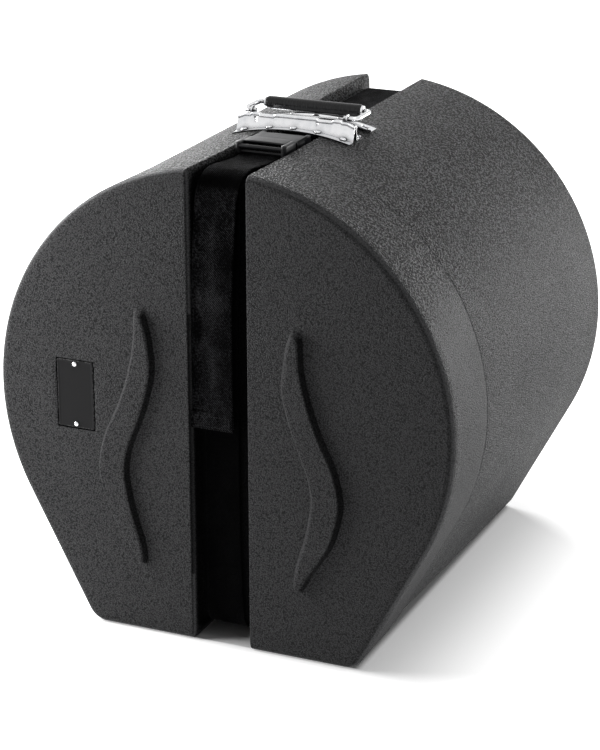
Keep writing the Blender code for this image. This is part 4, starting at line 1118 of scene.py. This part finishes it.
# ---------------------------------------------------------------------------------------------------------------
# Buckle: black moulded acetal, satin. The frame's ladder bars grip the webbing; two sprung prongs click into the
# socket, which is sewn to the strap's rear run.
buckle_finish = Finish("buckle_plastic")
spot = buckle_finish.place()
fine = buckle_finish.noise(spot, 1500, 2, 0.5)
flow = buckle_finish.noise(spot, 70, 3, 0.6)
buckle_finish.look(Base_Color=buckle_finish.mixed(flow, (0.008, 0.008, 0.009), (0.020, 0.020, 0.022)),
                   Roughness=0.34 + 0.14 * flow, Normal=buckle_finish.bumped(fine, 0.00006), Specular_IOR_Level=0.25)
frame_half, frame_rail, frame_low, frame_high, frame_skin, frame_slot = 0.032, 0.007, 0.0035, 0.0195, 0.0025, 0.0105
frame_bars = ((0.0045, 0.0075, 0.0016), (0.0025, 0.0140, 0.0023), (*lock_bar, bar_radius))
edge_drop, frame_crown = 0.0008, 0.0010
socket_half, socket_low, socket_high, socket_skin, socket_inset = 0.031, 0.0026, 0.0160, 0.0018, 0.003
window_start, window_end, bridge_start, bridge_end, socket_slot_half = 0.0035, 0.0250, 0.0285, 0.0315, 0.025
prong_root, prong_gap, prong_low, prong_high = 0.018, 0.0003, 0.0055, 0.0130
prong_layers = ((prong_low, 0.90), (prong_low + 0.0004, 0.96), (prong_low + 0.0012, 1.0),
                ((prong_low + prong_high) / 2, 1.0), (prong_high - 0.0012, 1.0), (prong_high - 0.0004, 0.96),
                (prong_high, 0.90))


def block(low, high, axis, corner, edge, crown=0.0):
    """Loops of a block between two corners: round corners across one axis, rounded ends, and a crowned top."""
    order = {"x": (1, 2, 0), "y": (0, 2, 1), "z": (0, 1, 2)}[axis]
    centre = [(a + b) / 2 for a, b in zip(low, high)]
    half_a, half_b, half_c = ((high[k] - low[k]) / 2 for k in order)
    turns = np.linspace(0, math.pi / 2, 4)
    ends = [(-half_c + edge * (1 - math.cos(u)), edge * (1 - math.sin(u))) for u in turns]
    stations = ends + [(c, 0.0) for c in np.linspace(-half_c + edge, half_c - edge, 9)[1:-1]]
    stations += [(-c, shrink) for c, shrink in ends[::-1]]
    loops = []
    for c, shrink in stations:
        loop = []
        for a, b in rounded_outline(half_a - shrink, half_b - shrink, max(corner - shrink, 0.0002), 4):
            point = [0.0, 0.0, 0.0]
            for k, value in zip(order, (a, b, c)):
                point[k] = centre[k] + value
            point[2] -= crown * (point[0] / frame_half) ** 2
            loop.append(point)
        loops.append(loop)
    return loops


def bar_loops(y, z, radius, reach):
    """Loops of a round bar across the case."""
    turns = [math.tau * k / 16 for k in range(16)]
    return [[(x, y + radius * math.cos(t), z + radius * math.sin(t)) for t in turns] for x in (-reach, 0, reach)]


def moulding(name, parts, node, body):
    """One moulded piece made up of closed lofts that run into each other."""
    points, faces = [], []
    for loops in parts:
        faces += loft_faces(len(points), len(loops[0]), len(loops))
        points += [point for loop in loops for point in loop]
    piece = add_piece(name, points, faces, buckle_finish.material, 45)
    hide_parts(node)
    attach(piece, body)


frame_parts = [bar_loops(frame_y + y, floor_z + z, radius, frame_half - frame_rail / 2) for y, z, radius in frame_bars]
for side in (-1, 1):
    inner, outer = side * (frame_half - frame_rail), side * frame_half
    frame_parts.append(block((min(inner, outer), frame_y, floor_z + frame_low),
                             (max(inner, outer), frame_y + frame_length, floor_z + frame_high - edge_drop),
                             "z", 0.0034, 0.0022))
inside = frame_half - frame_rail + 0.0015
frame_parts += [block((-inside, frame_y + frame_slot, floor_z + frame_high - frame_skin),
                      (inside, frame_y + frame_length, floor_z + frame_high), "x", 0.0012, 0.0010, frame_crown),
                block((-inside, frame_y + frame_length - frame_rail, floor_z + frame_low),
                      (inside, frame_y + frame_length, floor_z + frame_high - frame_skin / 2),
                      "x", 0.0012, 0.0010, frame_crown)]
moulding("buckle_frame_body", frame_parts, "buckle_frame", "base")

socket_parts = [bar_loops(socket_bar_y, socket_bar_z, bar_radius, socket_slot_half + 0.0015),
                block((-socket_half, socket_y, floor_z + socket_high - socket_skin),
                      (socket_half, socket_y + bridge_end, floor_z + socket_high), "x", 0.0008, 0.0028, 0.0002),
                block((-socket_half, socket_y, floor_z + socket_low),
                      (socket_half, socket_y + bridge_end, floor_z + socket_low + socket_skin), "x", 0.0008, 0.0028),
                block((-socket_half + socket_inset, socket_y + bridge_start, floor_z + socket_low),
                      (socket_half - socket_inset, socket_y + bridge_end, floor_z + socket_high - edge_drop),
                      "x", 0.0008, 0.0008)]
for side in (-1, 1):
    for near, far, inner in ((0.0, window_start, socket_half - socket_inset),
                             (window_end, socket_length, socket_slot_half)):
        edges = sorted((side * inner, side * socket_half))
        socket_parts.append(block((edges[0], socket_y + near, floor_z + socket_low),
                                  (edges[1], socket_y + far, floor_z + socket_high - edge_drop), "z", 0.0012, 0.0012))
moulding("buckle_socket_body", socket_parts, "buckle_socket", "base")

prong_outline = [(0.0, 0.0), (0.007, 0.0), (0.007, 0.0075), (0.0146, 0.0106)]
prong_outline += [(0.0150 if k % 2 else 0.0144, 0.0118 + 0.0011 * k) for k in range(10)]
prong_outline += [(0.0146, 0.0230), (0.0072, 0.0272), (0.0066, 0.0300), (0.0035, 0.0310), (0.0, 0.0306)]
for label, side in both_sides:
    corners = [Vector((x, y, 0)) for x, y in prong_outline]
    middle = sum(corners, Vector()) / len(corners)
    loops = []
    for height, scale in prong_layers:
        loop = []
        for corner in rounded_route(corners + corners[:1], 0.0005, 2):
            point = middle + (corner - middle) * scale
            loop.append((side * (prong_root + point.x), frame_y + frame_length + prong_gap + point.y, floor_z + height))
        loops.append(loop)
    moulding(f"buckle_prong_{label}_arm", [loops], f"buckle_prong_{label}", f"prong_{label}")

# ---------------------------------------------------------------------------------------------------------------
# Foam: charcoal closed-cell pads glued to the lid's face, the base's rear wall and round its sides, and two cradles
# that fill the lower corners under the drum. Cut blocks, with softly rounded edges and a fine cell structure.
foam_voxel, foam_fill, foam_softening, foam_passes = 0.0045, 0.9, 0.5, 6
foam_finish = Finish("foam")
spot = foam_finish.place()
cells = foam_finish.node("ShaderNodeTexVoronoi", {"feature": "F1"}, {"Vector": spot, "Scale": 900}, "Distance")
mottle = foam_finish.noise(spot, 55, 4, 0.6)
foam_finish.look(Base_Color=foam_finish.mixed(mottle, (0.045, 0.045, 0.049), (0.080, 0.080, 0.086)),
                 Roughness=0.94, Normal=foam_finish.bumped(cells, 0.0005))
foam_bodies = {"lid_foam_left": "lid", "lid_foam_right": "lid", "base_foam_left": "base", "base_foam_right": "base",
               "wall_pad_right_upper": "base", "wall_pad_right_lower": "base", "wall_pad_left_upper": "base",
               "wall_pad_left_lower": "base", "cradle_left": "base", "cradle_right": "base"}
for node, body in foam_bodies.items():
    cut_foam = add_object(node + "_block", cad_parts[node].data.copy())
    cut_foam.data.materials.clear()
    solid = cut_foam.modifiers.new("even cells", "REMESH")
    solid.mode, solid.voxel_size = "VOXEL", foam_voxel
    softened = cut_foam.modifiers.new("rounded edges", "SMOOTH")
    softened.factor, softened.iterations = foam_softening, foam_passes
    shape = bpy.data.meshes.new_from_object(cut_foam.evaluated_get(bpy.context.evaluated_depsgraph_get()))
    bpy.data.objects.remove(cut_foam)
    shape.name = node + "_soft"
    shape.shade_smooth()
    shape.materials.clear()
    shape.materials.append(foam_finish.material)
    pad = add_object(node + "_soft", shape)
    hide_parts(node)
    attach(pad, body)
